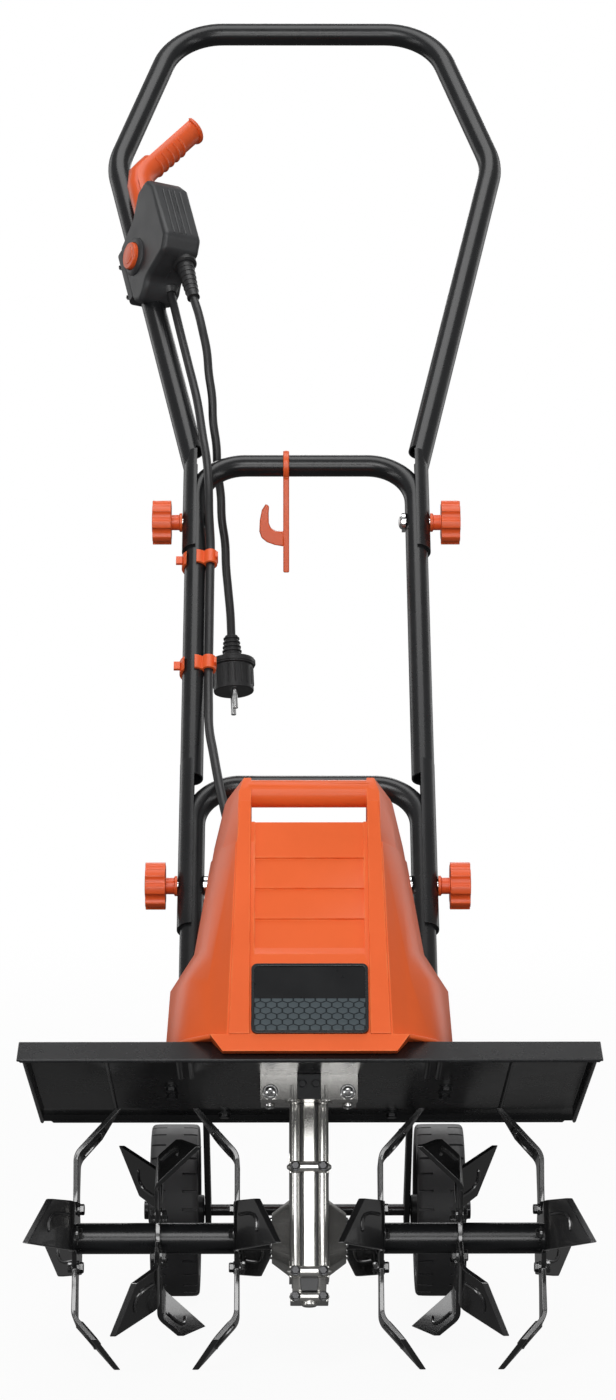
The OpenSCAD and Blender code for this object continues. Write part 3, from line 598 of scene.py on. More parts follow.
# The hub tubes have the guard's half gloss; only the blades are brushed with enamel
for side in HAND.values():
    softened[f"tine_hub_{side}"].data.materials[0] = finishes["black_paint"]
print("softened", len(softened))

# %% [markdown]
# ## The mains lead and the motor cable
# The lead leaves the gland under the switch box and hangs free to its plug; the photograph shows it from
# end to end, so that is its whole length. The motor cable is clipped to the handle. A swept mesh would
# show facets, so both are curves with a round bevel, through the same points as the solids.

# %% A helper that lays a cable
def cable_curve(name, points, node, diameter=0.008):
    data = bpy.data.curves.new(name, "CURVE")
    data.dimensions = "3D"
    data.bevel_depth = diameter / 2
    data.bevel_resolution = 4
    data.resolution_u = 8
    data.use_fill_caps = True
    data.materials.append(finishes["cable_rubber"])
    spline = data.splines.new("BEZIER")
    spline.bezier_points.add(len(points) - 1)
    for handle, p in zip(spline.bezier_points, points):
        handle.co = p
        handle.handle_left_type = handle.handle_right_type = "AUTO"
    obj = placed(name, data)
    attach(obj, "machine")
    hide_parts(node)
    print(name, "length", round(spline.calc_length(), 4))
    return obj


# %% Mains lead
LEAD_TOP = Vector((-105.032, 564.754, 763.529))
LEAD_DROP = [
    (0, 0, 0), (5, -13, -15), (9, -24, -31), (13, -32, -50), (15, -39, -71), (18, -43, -92), (19, -47, -115),
    (22, -49, -137), (23, -51, -160), (26, -53, -182), (27, -54, -205), (30, -56, -227), (31, -59, -250),
    (33, -64, -271), (35, -70, -292), (36, -79, -312)]
lead_points = [AXLE @ (LEAD_TOP + Vector(p)) for p in LEAD_DROP]
lead = cable_curve("mains_lead_curve", lead_points, "mains_lead")

# %% Motor cable
CLIP_REACH, CLIP_TURN, CLIP_IN = 15, radians(26), 370
BOX_HALF = 38
# From the box to the upper clip: share of the way across, bow in millimetres, share of the way up
SWAY = [(0.83, 9, 0.88), (0.6, 12, 0.72), (0.37, 13, 0.56), (0.22, 13, 0.41), (0.11, 13, 0.3),
        (0.06, 12, 0.2), (0.04, 7, 0.1)]
BELOW_CLIPS = [(-86, -9, 185), (-85, -14, 155), (-81, -20, 125), (-76, -26, 90), (-70, -31, 55),
               (-65, -33, 28)]

clip = Vector((-LEG_HALF + CLIP_REACH * cos(CLIP_TURN), -CLIP_REACH * sin(CLIP_TURN), 0))
clip_in = clip + Vector((0, 0, CLIP_IN))
to_handle = HANDLE.inverted()
box_foot, box_under = [to_handle @ SWITCH @ Vector((17, -14, -BOX_HALF - drop)) for drop in (0, 20)]
gland_top, gland_over = [to_handle @ POWER @ Vector((-62, 24, 301 + rise)) for rise in (0, 20)]
cable_points = [box_foot, box_under]
for across, bow, up in SWAY:
    cable_points.append((clip_in.x + across * (box_under.x - clip_in.x), clip_in.y - bow,
                         clip_in.z + up * (box_under.z - clip_in.z)))
cable_points += [clip + Vector((0, 0, t)) for t in (CLIP_IN, 335, 300, 260, 215)]
cable_points += BELOW_CLIPS + [gland_over, gland_top]
cable_curve("motor_cable_curve", [HANDLE @ Vector(p) for p in cable_points], "motor_cable")

# %% [markdown]
# ## Plug and glands
# The plug has a ribbed neck that lets the lead flex, a collar to pull it by, and two round pins. The bend
# sleeve under the switch box has the same kind of rings. A bump could hint at them, but their outline
# shows, so they are turned profiles on the axis of the piece they dress.

# %% Plug grip
tail = (lead_points[-1] - lead_points[-2]).normalized()
PLUG = Matrix.Translation(lead_points[-1]) @ tail.to_track_quat("Z", "X").to_matrix().to_4x4() @ MM
bm = bmesh.new()
for k in range(5):
    z = 3.0 + 4.2 * k
    r = 6.0 + 3.0 * z / 24
    turned(bm, [(r - 0.6, z - 1.2), (r + 1.1, z - 0.5), (r + 1.1, z + 0.6), (r - 0.6, z + 1.2)], PLUG, 28)
for k in range(18):
    bead(bm, [(18.4, 0, 34), (18.4, 0, 50)], 0.75, PLUG @ spin(20 * k, "Z"), 6)
turned(bm, [(19.4, 24.6), (21.2, 25.8), (21.2, 29.0), (19.4, 30.2)], PLUG, 40)
plug_grip = piece("plug_grip", bm, ONE, "cable_rubber")

# %% Gland rings
GLAND = SWITCH @ shift(32, -46, -BOX_HALF) @ spin(180, "X")
CABLE_EXIT = SWITCH @ shift(17, -14, -BOX_HALF) @ spin(180, "X")
bm = bmesh.new()
turned(bm, [(11.5, -1.0), (11.5, 3.4), (9.6, 4.6)], GLAND, 28)
for k in range(6):
    z = 10 + 5.6 * k
    r = 8.5 - 3.0 * z / 46
    turned(bm, [(r - 0.4, z - 1.0), (r + 0.55, z - 0.5), (r + 0.55, z + 0.5), (r - 0.4, z + 1.0)], GLAND, 24)
turned(bm, [(5.0, 44.4), (6.1, 44.8), (6.1, 46.2), (5.0, 46.6)], GLAND, 24)
turned(bm, [(8.6, -1.0), (8.6, 3.0), (5.4, 7.5), (4.7, 7.5)], CABLE_EXIT, 24)
piece("gland_rings", bm, ONE, "cable_rubber")

# %% Where the lead leaves the gland
print("cord leaves the gland at", tuple(lead_points[0]))

# %% [markdown]
# ## Tine stars
# Each blade is pressed with a curved bead that stiffens it, and each star is bolted through its disc.
# Sculpting would have to be done 24 times. So the bead is one path on the bent face, which all the arms
# share, turned about the axle and mirrored where an arm bends the other way.

# %% The bead's path on a bent blade
BEND = radians(42)
BEND_X, BEND_Z = 14, 60
BEAD = [(1, 7.5), (7, 7.6), (13, 7.2), (18, 5.2), (21, 1.5), (22, -3), (21.5, -7.5)]
along_blade = Vector((sin(BEND), 0, cos(BEND)))
out_of_blade = Vector((-cos(BEND), 0, sin(BEND)))


def blade_bead(stand_off, lift):
    """The path on the blade's face that is stand_off millimetres from the centre of its bend."""
    root = Vector((BEND_X - stand_off * cos(BEND), 0, BEND_Z + stand_off * sin(BEND)))
    return [root + along_blade * s + Vector((0, v, 0)) + out_of_blade * lift for s, v in BEAD]


print("points on a blade's bead", len(BEAD))


# %% Tine beads and bolts
def star_trim(side, place, x):
    bends = [-1, 1, -1, 1] if place else [1, -1, 1, -1]
    turn = 45 if place == 1 else 0
    bm = bmesh.new()
    for k in range(4):
        arm = shift(side * x, 0, 0) @ spin(turn - 22.5 + 90 * k, "X")
        flip = side * bends[k]
        mirrored = arm @ Matrix.Scale(flip, 4, (1, 0, 0))
        bead(bm, blade_bead(16, 0.2), 1.5, mirrored, 8)
        bead(bm, blade_bead(12, -0.2), 1.3, mirrored, 8)
        for face, across in ((-1, 7.0), (1, 8.0)):
            hex_head(bm, arm @ shift(face * 2, 0, 23.5) @ spin(90 * face, "Y"), across, 4.6)
        bead(bm, [(-1.5 * flip, 9 * cos(a), 13.2) for a in (0.6, 1.57, 2.5)], 1.2, arm, 6)
    where = ("inner", "middle", "outer")[place]
    piece(f"star_trim_{HAND[side]}_{where}", bm, AXLE, "tine_paint", "tine_rotor")


for side in HAND:
    for place, x in enumerate((58, 121, 188)):
        star_trim(side, place, x)

# %% Bolts at the rotor's ends
bm = bmesh.new()
for side in HAND:
    end = shift(side * 191, 0, 0) @ spin(90 * side, "Y")
    turned(bm, [(12.0, -0.2), (12.0, 1.4), (8.5, 2.2)], end, 32)
    hex_head(bm, end @ shift(0, 0, 1.5), 13.0, 8.0)
piece("rotor_end_bolts", bm, AXLE, "tine_paint", "tine_rotor")

# %% [markdown]
# ## Guard
# The guard is one pressed sheet. Its visor and its rear lip end in rolled hems, pairs of ribs are pressed
# into the panel, and bolts hold the handle's feet, the wheel bracket and the gear case to it. Ribs could
# be pushed out of the sheet's own mesh, but a bead half sunk in the sheet looks the same and leaves the
# solid as it is.

# %% Guard hems and ribs
VISOR, HEM = radians(41), radians(35)
tip_y, tip_z = -176 - 28.2 * cos(VISOR), GUARD_TOP - 28.2 * sin(VISOR) - 1.2
rear_y, rear_z = 90 + 7.4 * cos(HEM), GUARD_TOP - 7.4 * sin(HEM) - 1.2


def rib(bm, x, y0, y1, z, radius):
    bead(bm, [(x, y0, z), (x, y1, z)], radius, ONE, 10)


bm = bmesh.new()
bead(bm, [(-222, tip_y, tip_z), (222, tip_y, tip_z)], 1.7, ONE, 10)
bead(bm, [(-214, rear_y, rear_z), (214, rear_y, rear_z)], 1.9, ONE, 10)
for side in HAND:
    for x in (94, 103):
        rib(bm, side * x, -164, -60, 119.6, 2.4)
        rib(bm, side * x, -158, -128, 122.0, 1.5)
    rib(bm, side * 160, -158, 74, 122.0, 2.2)
    rib(bm, side * 160, -158, 74, 120.0, 1.8)
    rib(bm, side * 221, -170, 58, 108.2, 1.6)
piece("guard_beads", bm, POWER, "black_paint")

# %% Guard bolts
bm = bmesh.new()
for side in HAND:
    for x, y in ((111.5, -22), (111.5, 6), (70, 81)):
        hex_head(bm, shift(side * x, y, 126), 8.0, 5.0)
        hex_head(bm, shift(side * x, y, 120) @ spin(180, "X"), 8.0, 4.6)
piece("guard_bolts", bm, POWER, "black_paint")

# %% [markdown]
# ## Gear case
# Two alloy halves are drawn together by straps and screws, and two ears take the bolts that hold the case
# up under the guard. The front of the casting is a fluted column, a flat rib between two rolls, with dark
# strips in the grooves as painted shade. It could be sculpted, but it is the same all the way down, so one
# section, drawn from the middle and mirrored, is run along the leaning case. A dark clamp plate covers the
# neck, and a dark patch on the foot is painted shade.

# %% Gear case column
COLUMN_FRONT, CASE_BACK = -53.0, -22.0
STRAPS, FOOT_STRAP = (48.5, -35.2), -54.6


def column_section(half=15.5, rib_half=5.0, roll=4.7):
    """The casting's section: a flat rib, and on both sides a groove, a rounded roll and the flank."""
    seat = COLUMN_FRONT + 7.5
    arc = [(half - roll + roll * cos(radians(a)), seat - roll * sin(radians(a)))
           for a in range(150, -1, -15)]
    right = [(rib_half - 0.9, COLUMN_FRONT), (rib_half, COLUMN_FRONT + 0.9), (rib_half, seat + 1.5),
             (rib_half + 0.9, seat + 1.5)] + arc + [(half, CASE_BACK)]
    return right + [(-x, y) for x, y in reversed(right)]


bm = bmesh.new()
for low, high in ((52.5, 106.0), (-31.5, 44.5)):
    prism(bm, column_section(), low, high)
piece("gear_case_column", bm, POWER, "alloy", soft=0.5)

# %% Straps and foot of the gear case
bm = bmesh.new()
for z in STRAPS:
    bead(bm, [(x, COLUMN_FRONT + 3.4, z) for x in (-13.0, 13.0)], 4.9, ONE, 20)
    box(bm, (-15.9, COLUMN_FRONT + 4, z - 4.6), (15.9, -24, z + 4.6))
bead(bm, [(x, COLUMN_FRONT + 7.0, FOOT_STRAP) for x in (-12.0, 12.0)], 3.9, ONE, 18)
box(bm, (-15.2, COLUMN_FRONT + 8, -58.2), (15.2, CASE_BACK, -51.2))
taper = []
for z, front in ((-39, COLUMN_FRONT + 3.0), (-52, COLUMN_FRONT + 9.0)):
    taper += [(-13.5, front + 5, z), (-8.5, front, z), (8.5, front, z), (13.5, front + 5, z),
              (13.5, CASE_BACK, z), (-13.5, CASE_BACK, z)]
add_faces(bm, taper, [tuple(range(6)), tuple(range(6, 12))] + band(0, 6, 6))
turned(bm, [(5.0, -62.0), (6.2, -61.0), (6.2, -58.0)], shift(0, COLUMN_FRONT + 11, 0), 28)
for side in HAND:
    turned(bm, [(4.4, 98), (5.2, 99), (5.2, 112)], shift(side * 13.6, -61, 0), 28)
piece("gear_case_straps", bm, POWER, "alloy", soft=1.0)

# %% Screws and bolts of the gear case
bm = bmesh.new()
for side in HAND:
    turned(bm, [(6.2, 0), (6.2, 1.2), (5.4, 1.8)], shift(side * 31, -66, 106) @ spin(90, "X"), 28)
    pan_head(bm, shift(side * 31, -67.4, 106) @ spin(90, "X"), 8.6, 3.4)
    for y in (-40, 8):
        pan_head(bm, shift(side * 32, y, 111) @ spin(180, "X"), 9.0, 3.0)
    for k in range(6):
        a = radians(60 * k + 30)
        pan_head(bm, shift(side * 30, 14.5 * cos(a), 14.5 * sin(a)) @ spin(90 * side, "Y"), 5.0, 2.0)
piece("gear_case_screws", bm, POWER, "bright_steel")

bm = bmesh.new()
for side in HAND:
    for z, front in ((STRAPS[0], -1.2), (STRAPS[1], -1.2), (FOOT_STRAP, 3.4)):
        hex_head(bm, shift(side * 11.0, COLUMN_FRONT + front, z) @ spin(90, "X"), 5.6, 3.4)
piece("gear_case_bolts", bm, POWER, "shaft_steel")

# %% Neck clamp, with painted shade in the grooves and on the foot
bm = bmesh.new()
prism(bm, [(-9.5, 100), (9.5, 100), (9.5, 120), (-9.5, 120)], 48, 69.5, spin(90, "X"))
# A dark patch on the tapered foot paints the shade there
foot_shade = [(-6.5, -50.6), (6.5, -50.6), (7.5, -40.4), (-7.5, -40.4)]
prism(bm, foot_shade, 44, -COLUMN_FRONT - 2.2, spin(90, "X"))
for side in HAND:
    turned(bm, [(3.4, 0), (3.4, 2.0), (2.6, 2.8)], shift(side * 5.5, -69.5, 112.0) @ spin(90, "X"), 20)
    # Dark strips in the grooves paint their shade
    groove_shade = (side * 4.9, side * 6.6)
    for low, high in ((53.5, 105.0), (-30.5, 43.5)):
        box(bm, (min(groove_shade), COLUMN_FRONT + 4.2, low), (max(groove_shade), COLUMN_FRONT + 9.5, high))
piece("neck_clamp_and_painted_shade", bm, POWER, "switch_plastic", soft=0.8)

# %% [markdown]
# ## Motor cover
# The badge sits in a dark rim between two raised straps that run up the face to the carry handle, and the
# foot of the cover ends in a rolled edge. A seat for the rim would need a boolean, so the rim is a frame
# that lies on the cover, drawn as four rounded outlines one inside the other.

# %% Badge rim
RIM_HALF, RIM_LOW, RIM_HIGH, RIM_CORNER, RIM_WIDE = 45.2, 1.0, 60.6, 4.6, 2.4


def rounded_outline(half_x, z0, z1, r, steps=6):
    corners = [(half_x - r, z0 + r, -90), (half_x - r, z1 - r, 0), (r - half_x, z1 - r, 90),
               (r - half_x, z0 + r, 180)]
    points = []
    for cx, cz, start in corners:
        turns = [radians(start + 90 * k / steps) for k in range(steps + 1)]
        points += [(cx + r * cos(a), cz + r * sin(a)) for a in turns]
    return points


outer = rounded_outline(RIM_HALF, RIM_LOW, RIM_HIGH, RIM_CORNER)
inner = rounded_outline(RIM_HALF - RIM_WIDE, RIM_LOW + RIM_WIDE, RIM_HIGH - RIM_WIDE, RIM_CORNER - 2.0)
n = len(outer)
rings = ((outer, -0.2), (outer, -2.6), (inner, -2.6), (inner, -1.6))
rim = [(x, y, z) for outline, y in rings for x, z in outline]
bm = bmesh.new()
add_faces(bm, rim, [face for k in range(3) for face in band(k * n, (k + 1) * n, n)])
piece("badge_rim", bm, FACE, "black_paint", soft=0.5)

# %% Straps and rolled foot of the cover
STRAP = [(46.5, 1), (62.4, 1), (57.2, 168), (55.2, 206), (46.2, 206)]
FOOT = [(76, -187.5), (96.6, -169.5), (112.4, -132), (112.8, -90), (112.8, -51)]
bm = bmesh.new()
for side in HAND:
    prism(bm, [(side * x, z) for x, z in STRAP], -0.3, 1.5, FACE @ spin(90, "X"))
    bead(bm, [(side * x, y, GUARD_TOP + 1.6) for x, y in FOOT], 2.0, POWER, 10)
piece("cover_straps", bm, ONE, "orange_plastic", soft=0.9)

# %% [markdown]
# The rear half of the cover, which the photograph doesn't show, gets the usual air slots and screws.
# Holes would open the cover to nothing, so the slots are dark inlays under proud fins: painted shade for
# the inside of the cover. Each wall has a work frame of its own, since it leans.

# %% Air slots and screws of the cover
COVER_RISE, REAR_DRAFT, SIDE_DRAFT = 165, 14, 10
SLOT_PITCH, SLOT_HIGH = 13, 5
REAR = shift(0, 72, GUARD_TOP) @ spin(degrees(atan2(REAR_DRAFT, COVER_RISE)), "X")
side_lean = degrees(atan2(SIDE_DRAFT, COVER_RISE))
bm_fins, bm_slot_shade, bm_screws = bmesh.new(), bmesh.new(), bmesh.new()
for k in range(7):
    z = 38 + SLOT_PITCH * k
    # The dark inlays paint the shade inside the slots
    box(bm_slot_shade, (-38, -0.4, z), (38, 0.35, z + SLOT_HIGH), REAR)
    box(bm_fins, (-40, -0.4, z + SLOT_HIGH), (40, 2.6, z + 7.4), REAR)
for side in HAND:
    wall = Matrix.Scale(side, 4, (1, 0, 0)) @ shift(82, 0, GUARD_TOP) @ spin(-side_lean, "Y")
    for k in range(6):
        z = 62 + SLOT_PITCH * k
        box(bm_slot_shade, (-0.4, -16, z), (0.35, 34, z + SLOT_HIGH), wall)
        box(bm_fins, (-0.4, -18, z + SLOT_HIGH), (2.4, 36, z + 7.2), wall)
    for z in (24, 150):
        pan_head(bm_screws, wall @ shift(0, -22, z) @ spin(90, "Y"), 7.5, 2.6)
    for z in (150, 20):
        pan_head(bm_screws, REAR @ shift(side * 44, 0, z) @ spin(-90, "X"), 7.5, 2.6)
piece("cover_fins", bm_fins, POWER, "orange_plastic", soft=0.7)
piece("cover_slot_shade", bm_slot_shade, POWER, "switch_plastic")
piece("cover_screws", bm_screws, POWER, "shaft_steel")

# %% [markdown]
# ## Handle hardware
# The clamp bolts end in plated mushroom heads inside the legs, and the star knobs have a round cap in
# their faces. Such things come off a lathe or out of a round mould, so they are turned profiles at the
# two clamps of each leg. The clips that hold the motor cable have a small release tab.

# %% Bolt domes and knob caps
CLAMPS = ((97.6, 0), (100.0, 400))
KNOB_SEAT, KNOB_LONG = 12.6, 27
bm_domes, bm_caps = bmesh.new(), bmesh.new()
for side in HAND:
    for leg, t in CLAMPS:
        inward = shift(side * (leg - 13), 0, t) @ spin(-90 * side, "Y")
        turned(bm_domes, [(6.4, -0.2), (6.1, 0.9), (5.1, 1.9), (3.2, 2.7), (1.1, 3.0)], inward, 32)
        cap = shift(side * (leg + KNOB_SEAT + KNOB_LONG), 0, t) @ spin(90 * side, "Y")
        turned(bm_caps, [(9.5, -0.3), (9.5, 0.2), (8.6, 0.6), (3.0, 0.7)], cap, 32)
        collar = shift(side * (leg + KNOB_SEAT), 0, t) @ spin(90 * side, "Y")
        turned(bm_caps, [(8.6, 0.2), (8.6, 2.2), (7.2, 3.0)], collar, 32)
piece("clamp_bolt_domes", bm_domes, HANDLE, "bright_steel")
piece("knob_caps", bm_caps, HANDLE, "orange_trim")

# %% Clip tabs
bm = bmesh.new()
for t in (345, 225):
    box(bm, (-117.5, -5.5, t + 3), (-111.9, -2.5, t + 11))
    box(bm, (-81.9, -13.5, t + 4), (-79.6, -3.5, t + 10))
    bead(bm, [(-108, 10.2, t + 3), (-108, 10.2, t + 11)], 1.3)
piece("clip_tabs", bm, HANDLE, "orange_trim", soft=0.6)

# %% [markdown]
# ## Switch box
# The box is a matt moulding in two halves, slanted at its outer end and drawn in at its foot. A bevelled
# cube can't give that outline, so it is drawn once, as the side of the box, and given a thickness. The
# outer end has grip ridges, the lock button stands in a raised ring, and screws close the box from
# behind.

# %% Switch box shell
BOX_DEEP, BOX_SIDE = 78, 19.5
box_outline = [(-4, -40), (8, -49), (20, -46), (29, -BOX_HALF), (66, -BOX_HALF), (BOX_DEEP, -27),
               (BOX_DEEP, 38), (69, 55), (50, 56), (30, 39), (-4, 31)]
bm = bmesh.new()
prism(bm, box_outline, -BOX_SIDE, BOX_SIDE, spin(90, "X"))
shell = piece("switch_box_shell", bm, BOX, "switch_plastic")
soften(shell, 5.0, 4)
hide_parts("switch_box")

# %% Switch box trim
RIDGE_LOW, RIDGE_HIGH = -23, 34
BUTTON = shift(19, -BOX_SIDE, -1) @ spin(90, "X")
bm = bmesh.new()
for k in range(4):
    v = -9 + 6.0 * k
    bead(bm, [(BOX_DEEP, v, RIDGE_LOW), (BOX_DEEP, v, RIDGE_HIGH)], 1.1)
turned(bm, [(18.5, -0.6), (18.3, 0.8), (16.6, 2.4), (14.2, 3.2), (13.6, 3.2), (13.4, 0.4)], BUTTON, 40)
for u, z in ((12, -28), (64, -26), (62, 22), (12, 28)):
    pan_head(bm, shift(u, BOX_SIDE, z) @ spin(-90, "X"), 6.0, 2.0)
bead(bm, [(26, 0, -BOX_HALF), (42, 0, -BOX_HALF)], 0.7, ONE, 6)
bead(bm, [(BOX_DEEP, 0, RIDGE_LOW), (BOX_DEEP, 0, RIDGE_HIGH)], 0.7, ONE, 6)
piece("switch_trim", bm, BOX, "switch_plastic")

# %% Lock button and clamp screws
bm = bmesh.new()
turned(bm, [(8.5, 6.7), (8.0, 7.5), (4.0, 7.9)], BUTTON, 32)
piece("lock_button_face", bm, BOX, "orange_trim")

bm = bmesh.new()
for z in (-20, 20):
    for v in (-14.0, 14.0):
        pan_head(bm, shift(-16, v, z) @ spin(-90, "Y"), 5.4, 2.4)
piece("switch_clamp_screws", bm, BOX, "bright_steel")

# %% [markdown]
# The lever is a half pipe that bends away from the box, thick in the stem and ridged for the fingers. The
# ridges are arcs round its closed side, all from one formula, so that each sits square to the grip.

# %% Lever
LEVER = SWITCH @ shift(10, -32, BOX_HALF)
bend_at = Vector((0, 0, 58))
lever_dir = Vector((64, 0, 54)).normalized()
lever_side = lever_dir.cross(Vector((0, 1, 0)))


def across_lever(distance, radius, low, high):
    """Points round the lever's closed side, at a distance along it from the bend."""
    centre = bend_at + lever_dir * distance
    turns = [radians(low + (high - low) * k / 12) for k in range(13)]
    return [centre + radius * (Vector((0, -1, 0)) * sin(a) - lever_side * cos(a)) for a in turns]


bm = bmesh.new()
for k in range(5):
    bead(bm, across_lever(24 + 8.5 * k, 13.9, -70, 62), 1.5)
bead(bm, across_lever(83.5, 14.6, -86, 86), 1.9, ONE, 10)
stem = [(0, 0, z) for z in (-6, 30, 46)] + [bend_at + lever_dir * s for s in (5, 14, 24)]
bead(bm, stem, 10.4, ONE, 24)
piece("lever_ridges", bm, LEVER, "orange_trim")

# %% [markdown]
# ## Cord hook
# The hook, which takes the strain off the lead, hangs from the handle's cross bar. Its barb is a moulded
# J, deeper at the bend than at the tip. A swept tube would be round, and the real barb is flat on both
# sides, so an outline of the J is given the strip's width.

# %% Cord hook
CROSS_BAR, HOOK_X, BARB_HALF = 468, -21, 8.6
HOOK = HANDLE @ shift(HOOK_X, 0, CROSS_BAR) @ spin(TILT, "X")
barb_outline = [
    (0.5, -74), (-8, -72.5), (-15, -70), (-20, -66), (-22, -60), (-21.6, -50), (-19.8, -41), (-16, -35),
    (-13, -37), (-13.4, -44), (-13.2, -53), (-11.4, -57.4), (-7, -60), (0.5, -60.6)]
bm = bmesh.new()
prism(bm, barb_outline, -BARB_HALF, BARB_HALF, spin(90, "X"))
piece("cord_hook_barb", bm, HOOK, "orange_trim", soft=1.2)

# %% [markdown]
# ## Wheels
# The tyres are solid mouldings with short cross grooves at both shoulders. Booleans would leave long thin
# faces, so the tread is revolved step by step: at a groove's steps the shoulder rows drop, and the ring
# stays one closed mesh. The hubs get spokes between boss and rim.

# %% A helper that makes a tyre
TYRE_IN, TYRE_WIDE, GROOVES, GROOVE_DEEP = 93.5, 41.0, 30, 1.7
# Radius, distance from the tyre's edge, and whether a groove cuts the row
SHOULDER = [(62.0, 0.0, 0), (71.2, 0.0, 0), (72.6, 0.8, 0), (73.6, 2.4, 1), (73.9, 6.0, 1), (74.0, 12.8, 1),
            (74.0, 13.4, 0)]
# Degrees into each stretch of tread, and whether that step lies in the groove
STRETCH = [(0, 0), (5.0, 0), (10.0, 0), (10.2, 1), (11.6, 1), (11.8, 0)]


def tyre(side):
    rows = SHOULDER + [(74.0, TYRE_WIDE / 2, 0)] + [(r, TYRE_WIDE - x, g) for r, x, g in reversed(SHOULDER)]
    steps = [(360.0 * k / GROOVES + a, groove_shade) for k in range(GROOVES) for a, groove_shade in STRETCH]
    points = []
    for a, groove_shade in steps:
        c, s = cos(radians(a)), sin(radians(a))
        for r, x, cut in rows:
            r -= GROOVE_DEEP * groove_shade * cut
            points.append((side * (TYRE_IN + x), r * c, r * s))
    n, w = len(steps), len(rows)
    faces = [(i * w + j, i * w + j + 1, (i + 1) % n * w + j + 1, (i + 1) % n * w + j)
             for i in range(n) for j in range(w - 1)]
    faces += [(i * w + w - 1, i * w, (i + 1) % n * w, (i + 1) % n * w + w - 1) for i in range(n)]
    bm = bmesh.new()
    add_faces(bm, points, faces)
    hand = HAND[side]
    obj = piece(f"tyre_tread_{hand}", bm, WHEEL, "tyre", f"{hand}_wheel", angle=28)
    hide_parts(f"tyre_{hand}")


# %% Tyres, spokes and hub caps
def wheel_spokes(side):
    bm = bmesh.new()
    for k in range(6):
        spoke = spin(60 * k, "X")
        for reach in ((97, 105.4), (113.6, 129)):
            low, high = sorted(side * x for x in reach)
            box(bm, (low, -3.2, 12.2), (high, 3.2, 57.4), spoke)
    cap = shift(side * 135.4, 0, 0) @ spin(90 * side, "Y")
    turned(bm, [(12.8, 0), (12.8, 1.4), (10.6, 2.4), (8.2, 2.4)], cap, 32)
    hand = HAND[side]
    piece(f"wheel_spokes_{hand}", bm, WHEEL, "wheel_plastic", f"{hand}_wheel", soft=0.8)


for side in HAND:
    tyre(side)
    wheel_spokes(side)

# %% [markdown]
# ## Studio
# The picture is a plain studio shot: white all round, soft light from the front and above, and darker
# sides that draw the edges of metal and gloss paint. A floor lit until it is white would overexpose the
# machine. So floor and world are white for the camera, through Light Path, and gloss and metal see a
# share of that. Near the machine the floor also takes light as paper does and keeps a shadow; further off
# it fades to white, so no horizon shows.

# %% Rays that the white background answers
def seen_rays(tree, mirror):
    """Camera rays in full, and a share of the rays that gloss, metal or glass sends on."""
    rays = tree.nodes.new("ShaderNodeLightPath").outputs
    sent_on = math_node(tree, "ADD", rays["Is Glossy Ray"], rays["Is Transmission Ray"], True)
    return rays["Is Camera Ray"], math_node(tree, "MULTIPLY", sent_on, mirror)


# %% Floor
floor_mesh = bpy.data.meshes.new("studio_floor")
bm = bmesh.new()
bmesh.ops.create_grid(bm, x_segments=2, y_segments=2, size=14.0)
bm.to_mesh(floor_mesh)
bm.free()
floor = placed("studio_floor", floor_mesh)
floor.location.z = -0.001
print("floor at", floor.location.z)

# %% White paper for the floor
FADE_START, FADE_END, WHITE_NEAR, WHITE_FAR = 0.7, 2.0, 0.94, 1.0
paper, tree, shader = new_material("studio_paper")
preset(shader, Roughness=0.9, Specular_IOR_Level=0.1)
camera_rays, mirror_rays = seen_rays(tree, 0.06)
sheet = mix_colour(tree, camera_rays, (0.07, 0.07, 0.07), (0.80, 0.80, 0.80))
tree.links.new(sheet, shader.inputs["Base Color"])
where = tree.nodes.new("ShaderNodeTexCoord")
reach = tree.nodes.new("ShaderNodeVectorMath")
reach.operation = "LENGTH"
tree.links.new(where.outputs["Object"], reach.inputs[0])
far = ranged(tree, reach.outputs["Value"], FADE_START, FADE_END, WHITE_NEAR, WHITE_FAR, "SMOOTHSTEP")
white = tree.nodes.new("ShaderNodeEmission")
mixed = tree.nodes.new("ShaderNodeMixShader")
seen = math_node(tree, "MULTIPLY", camera_rays, far)
tree.links.new(math_node(tree, "ADD", seen, mirror_rays, True), mixed.inputs[0])
tree.links.new(shader.outputs[0], mixed.inputs[1])
tree.links.new(white.outputs[0], mixed.inputs[2])
tree.links.new(mixed.outputs[0], tree.nodes["Material Output"].inputs["Surface"])
floor_mesh.materials.append(paper)
print("floor fades to white from", FADE_START, "to", FADE_END, "m")

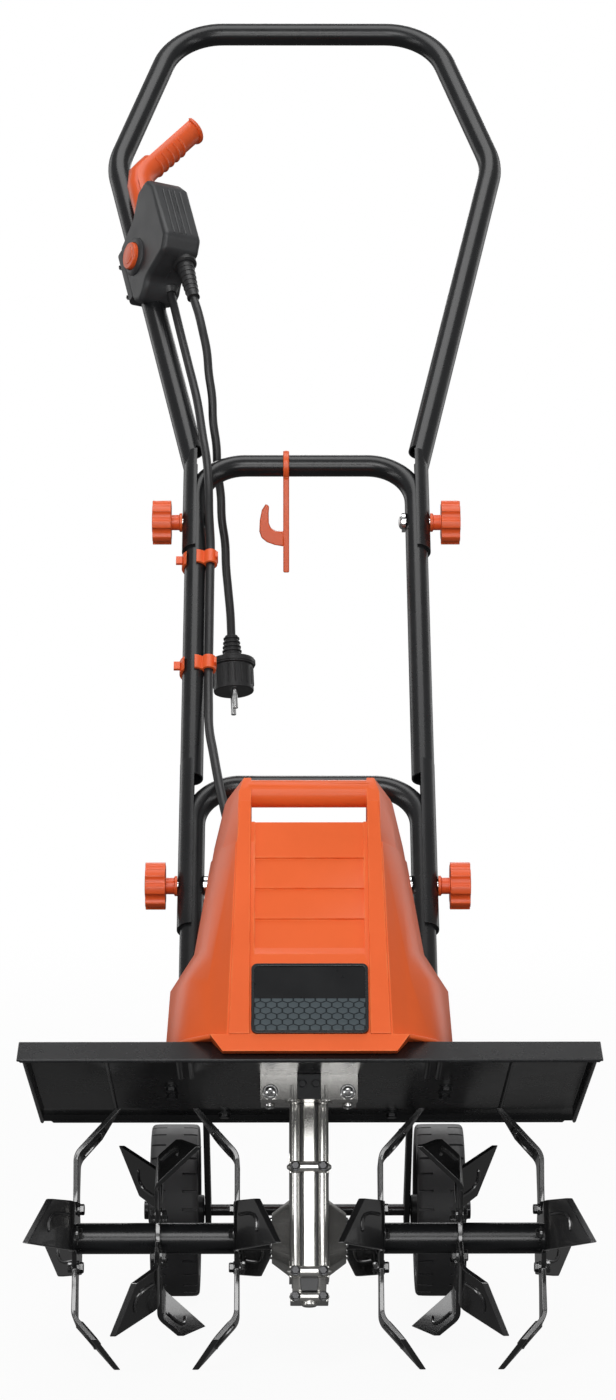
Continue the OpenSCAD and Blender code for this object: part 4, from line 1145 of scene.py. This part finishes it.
# %% World
SKY_MIDDLE, SKY_SIDES = 0.16, 0.05
world = bpy.data.worlds.new("studio_world")
scene.world = world
world.use_nodes = True
tree = world.node_tree
background = tree.nodes["Background"]
direction = tree.nodes.new("ShaderNodeTexCoord")
split = tree.nodes.new("ShaderNodeSeparateXYZ")
tree.links.new(direction.outputs["Generated"], split.inputs[0])
sideways = math_node(tree, "ABSOLUTE", split.outputs["X"])
sky = ranged(tree, sideways, 0.25, 0.75, SKY_MIDDLE, SKY_SIDES, "SMOOTHSTEP")
camera_rays, mirror_rays = seen_rays(tree, 0.25)
strength = tree.nodes.new("ShaderNodeMix")
tree.links.new(math_node(tree, "ADD", camera_rays, mirror_rays, True), strength.inputs["Factor"])
tree.links.new(sky, strength.inputs["A"])
preset(strength, B=1.0)
tree.links.new(strength.outputs["Result"], background.inputs["Strength"])
preset(background, Color=(1, 1, 1, 1))
print("world lights with", SKY_MIDDLE, "ahead and", SKY_SIDES, "at the sides")

# %% [markdown]
# The key is a broad sheet in front and above, where the flat of the gear case and the raked face mirror
# it. Two tall strips at the sides draw thin lines along the tubes, a low fill reaches under the guard, an
# overhead sheet lights the tops, and the lamps behind rim the cover's flanks. Area lamps show in gloss
# paint as softboxes do.

# %% Lamps
AIM = Vector((0, -0.2, 0.45))


def lamp(name, place, size, power):
    data = bpy.data.lights.new(name, "AREA")
    data.shape = "RECTANGLE"
    data.size, data.size_y = size
    data.energy = power
    obj = placed(name, data)
    obj.location = place
    obj.rotation_euler = (AIM - Vector(place)).to_track_quat("-Z", "Y").to_euler()


lamp("key_lamp", (-0.45, -2.7, 2.1), (1.5, 1.2), 33)
lamp("front_fill", (0.25, -3.6, 0.75), (1.6, 0.9), 25)
lamp("left_strip", (-2.3, -1.7, 1.1), (0.45, 2.2), 13)
lamp("right_strip", (2.3, -1.7, 1.1), (0.45, 2.2), 11)
lamp("overhead_lamp", (0.0, 0.1, 3.0), (1.8, 1.4), 24)
lamp("back_lamp", (0.2, 3.0, 1.7), (1.8, 1.2), 16)
lamp("rim_left", (-1.7, 1.7, 1.1), (0.7, 2.0), 6)
lamp("rim_right", (1.7, 1.7, 1.1), (0.7, 2.0), 6)
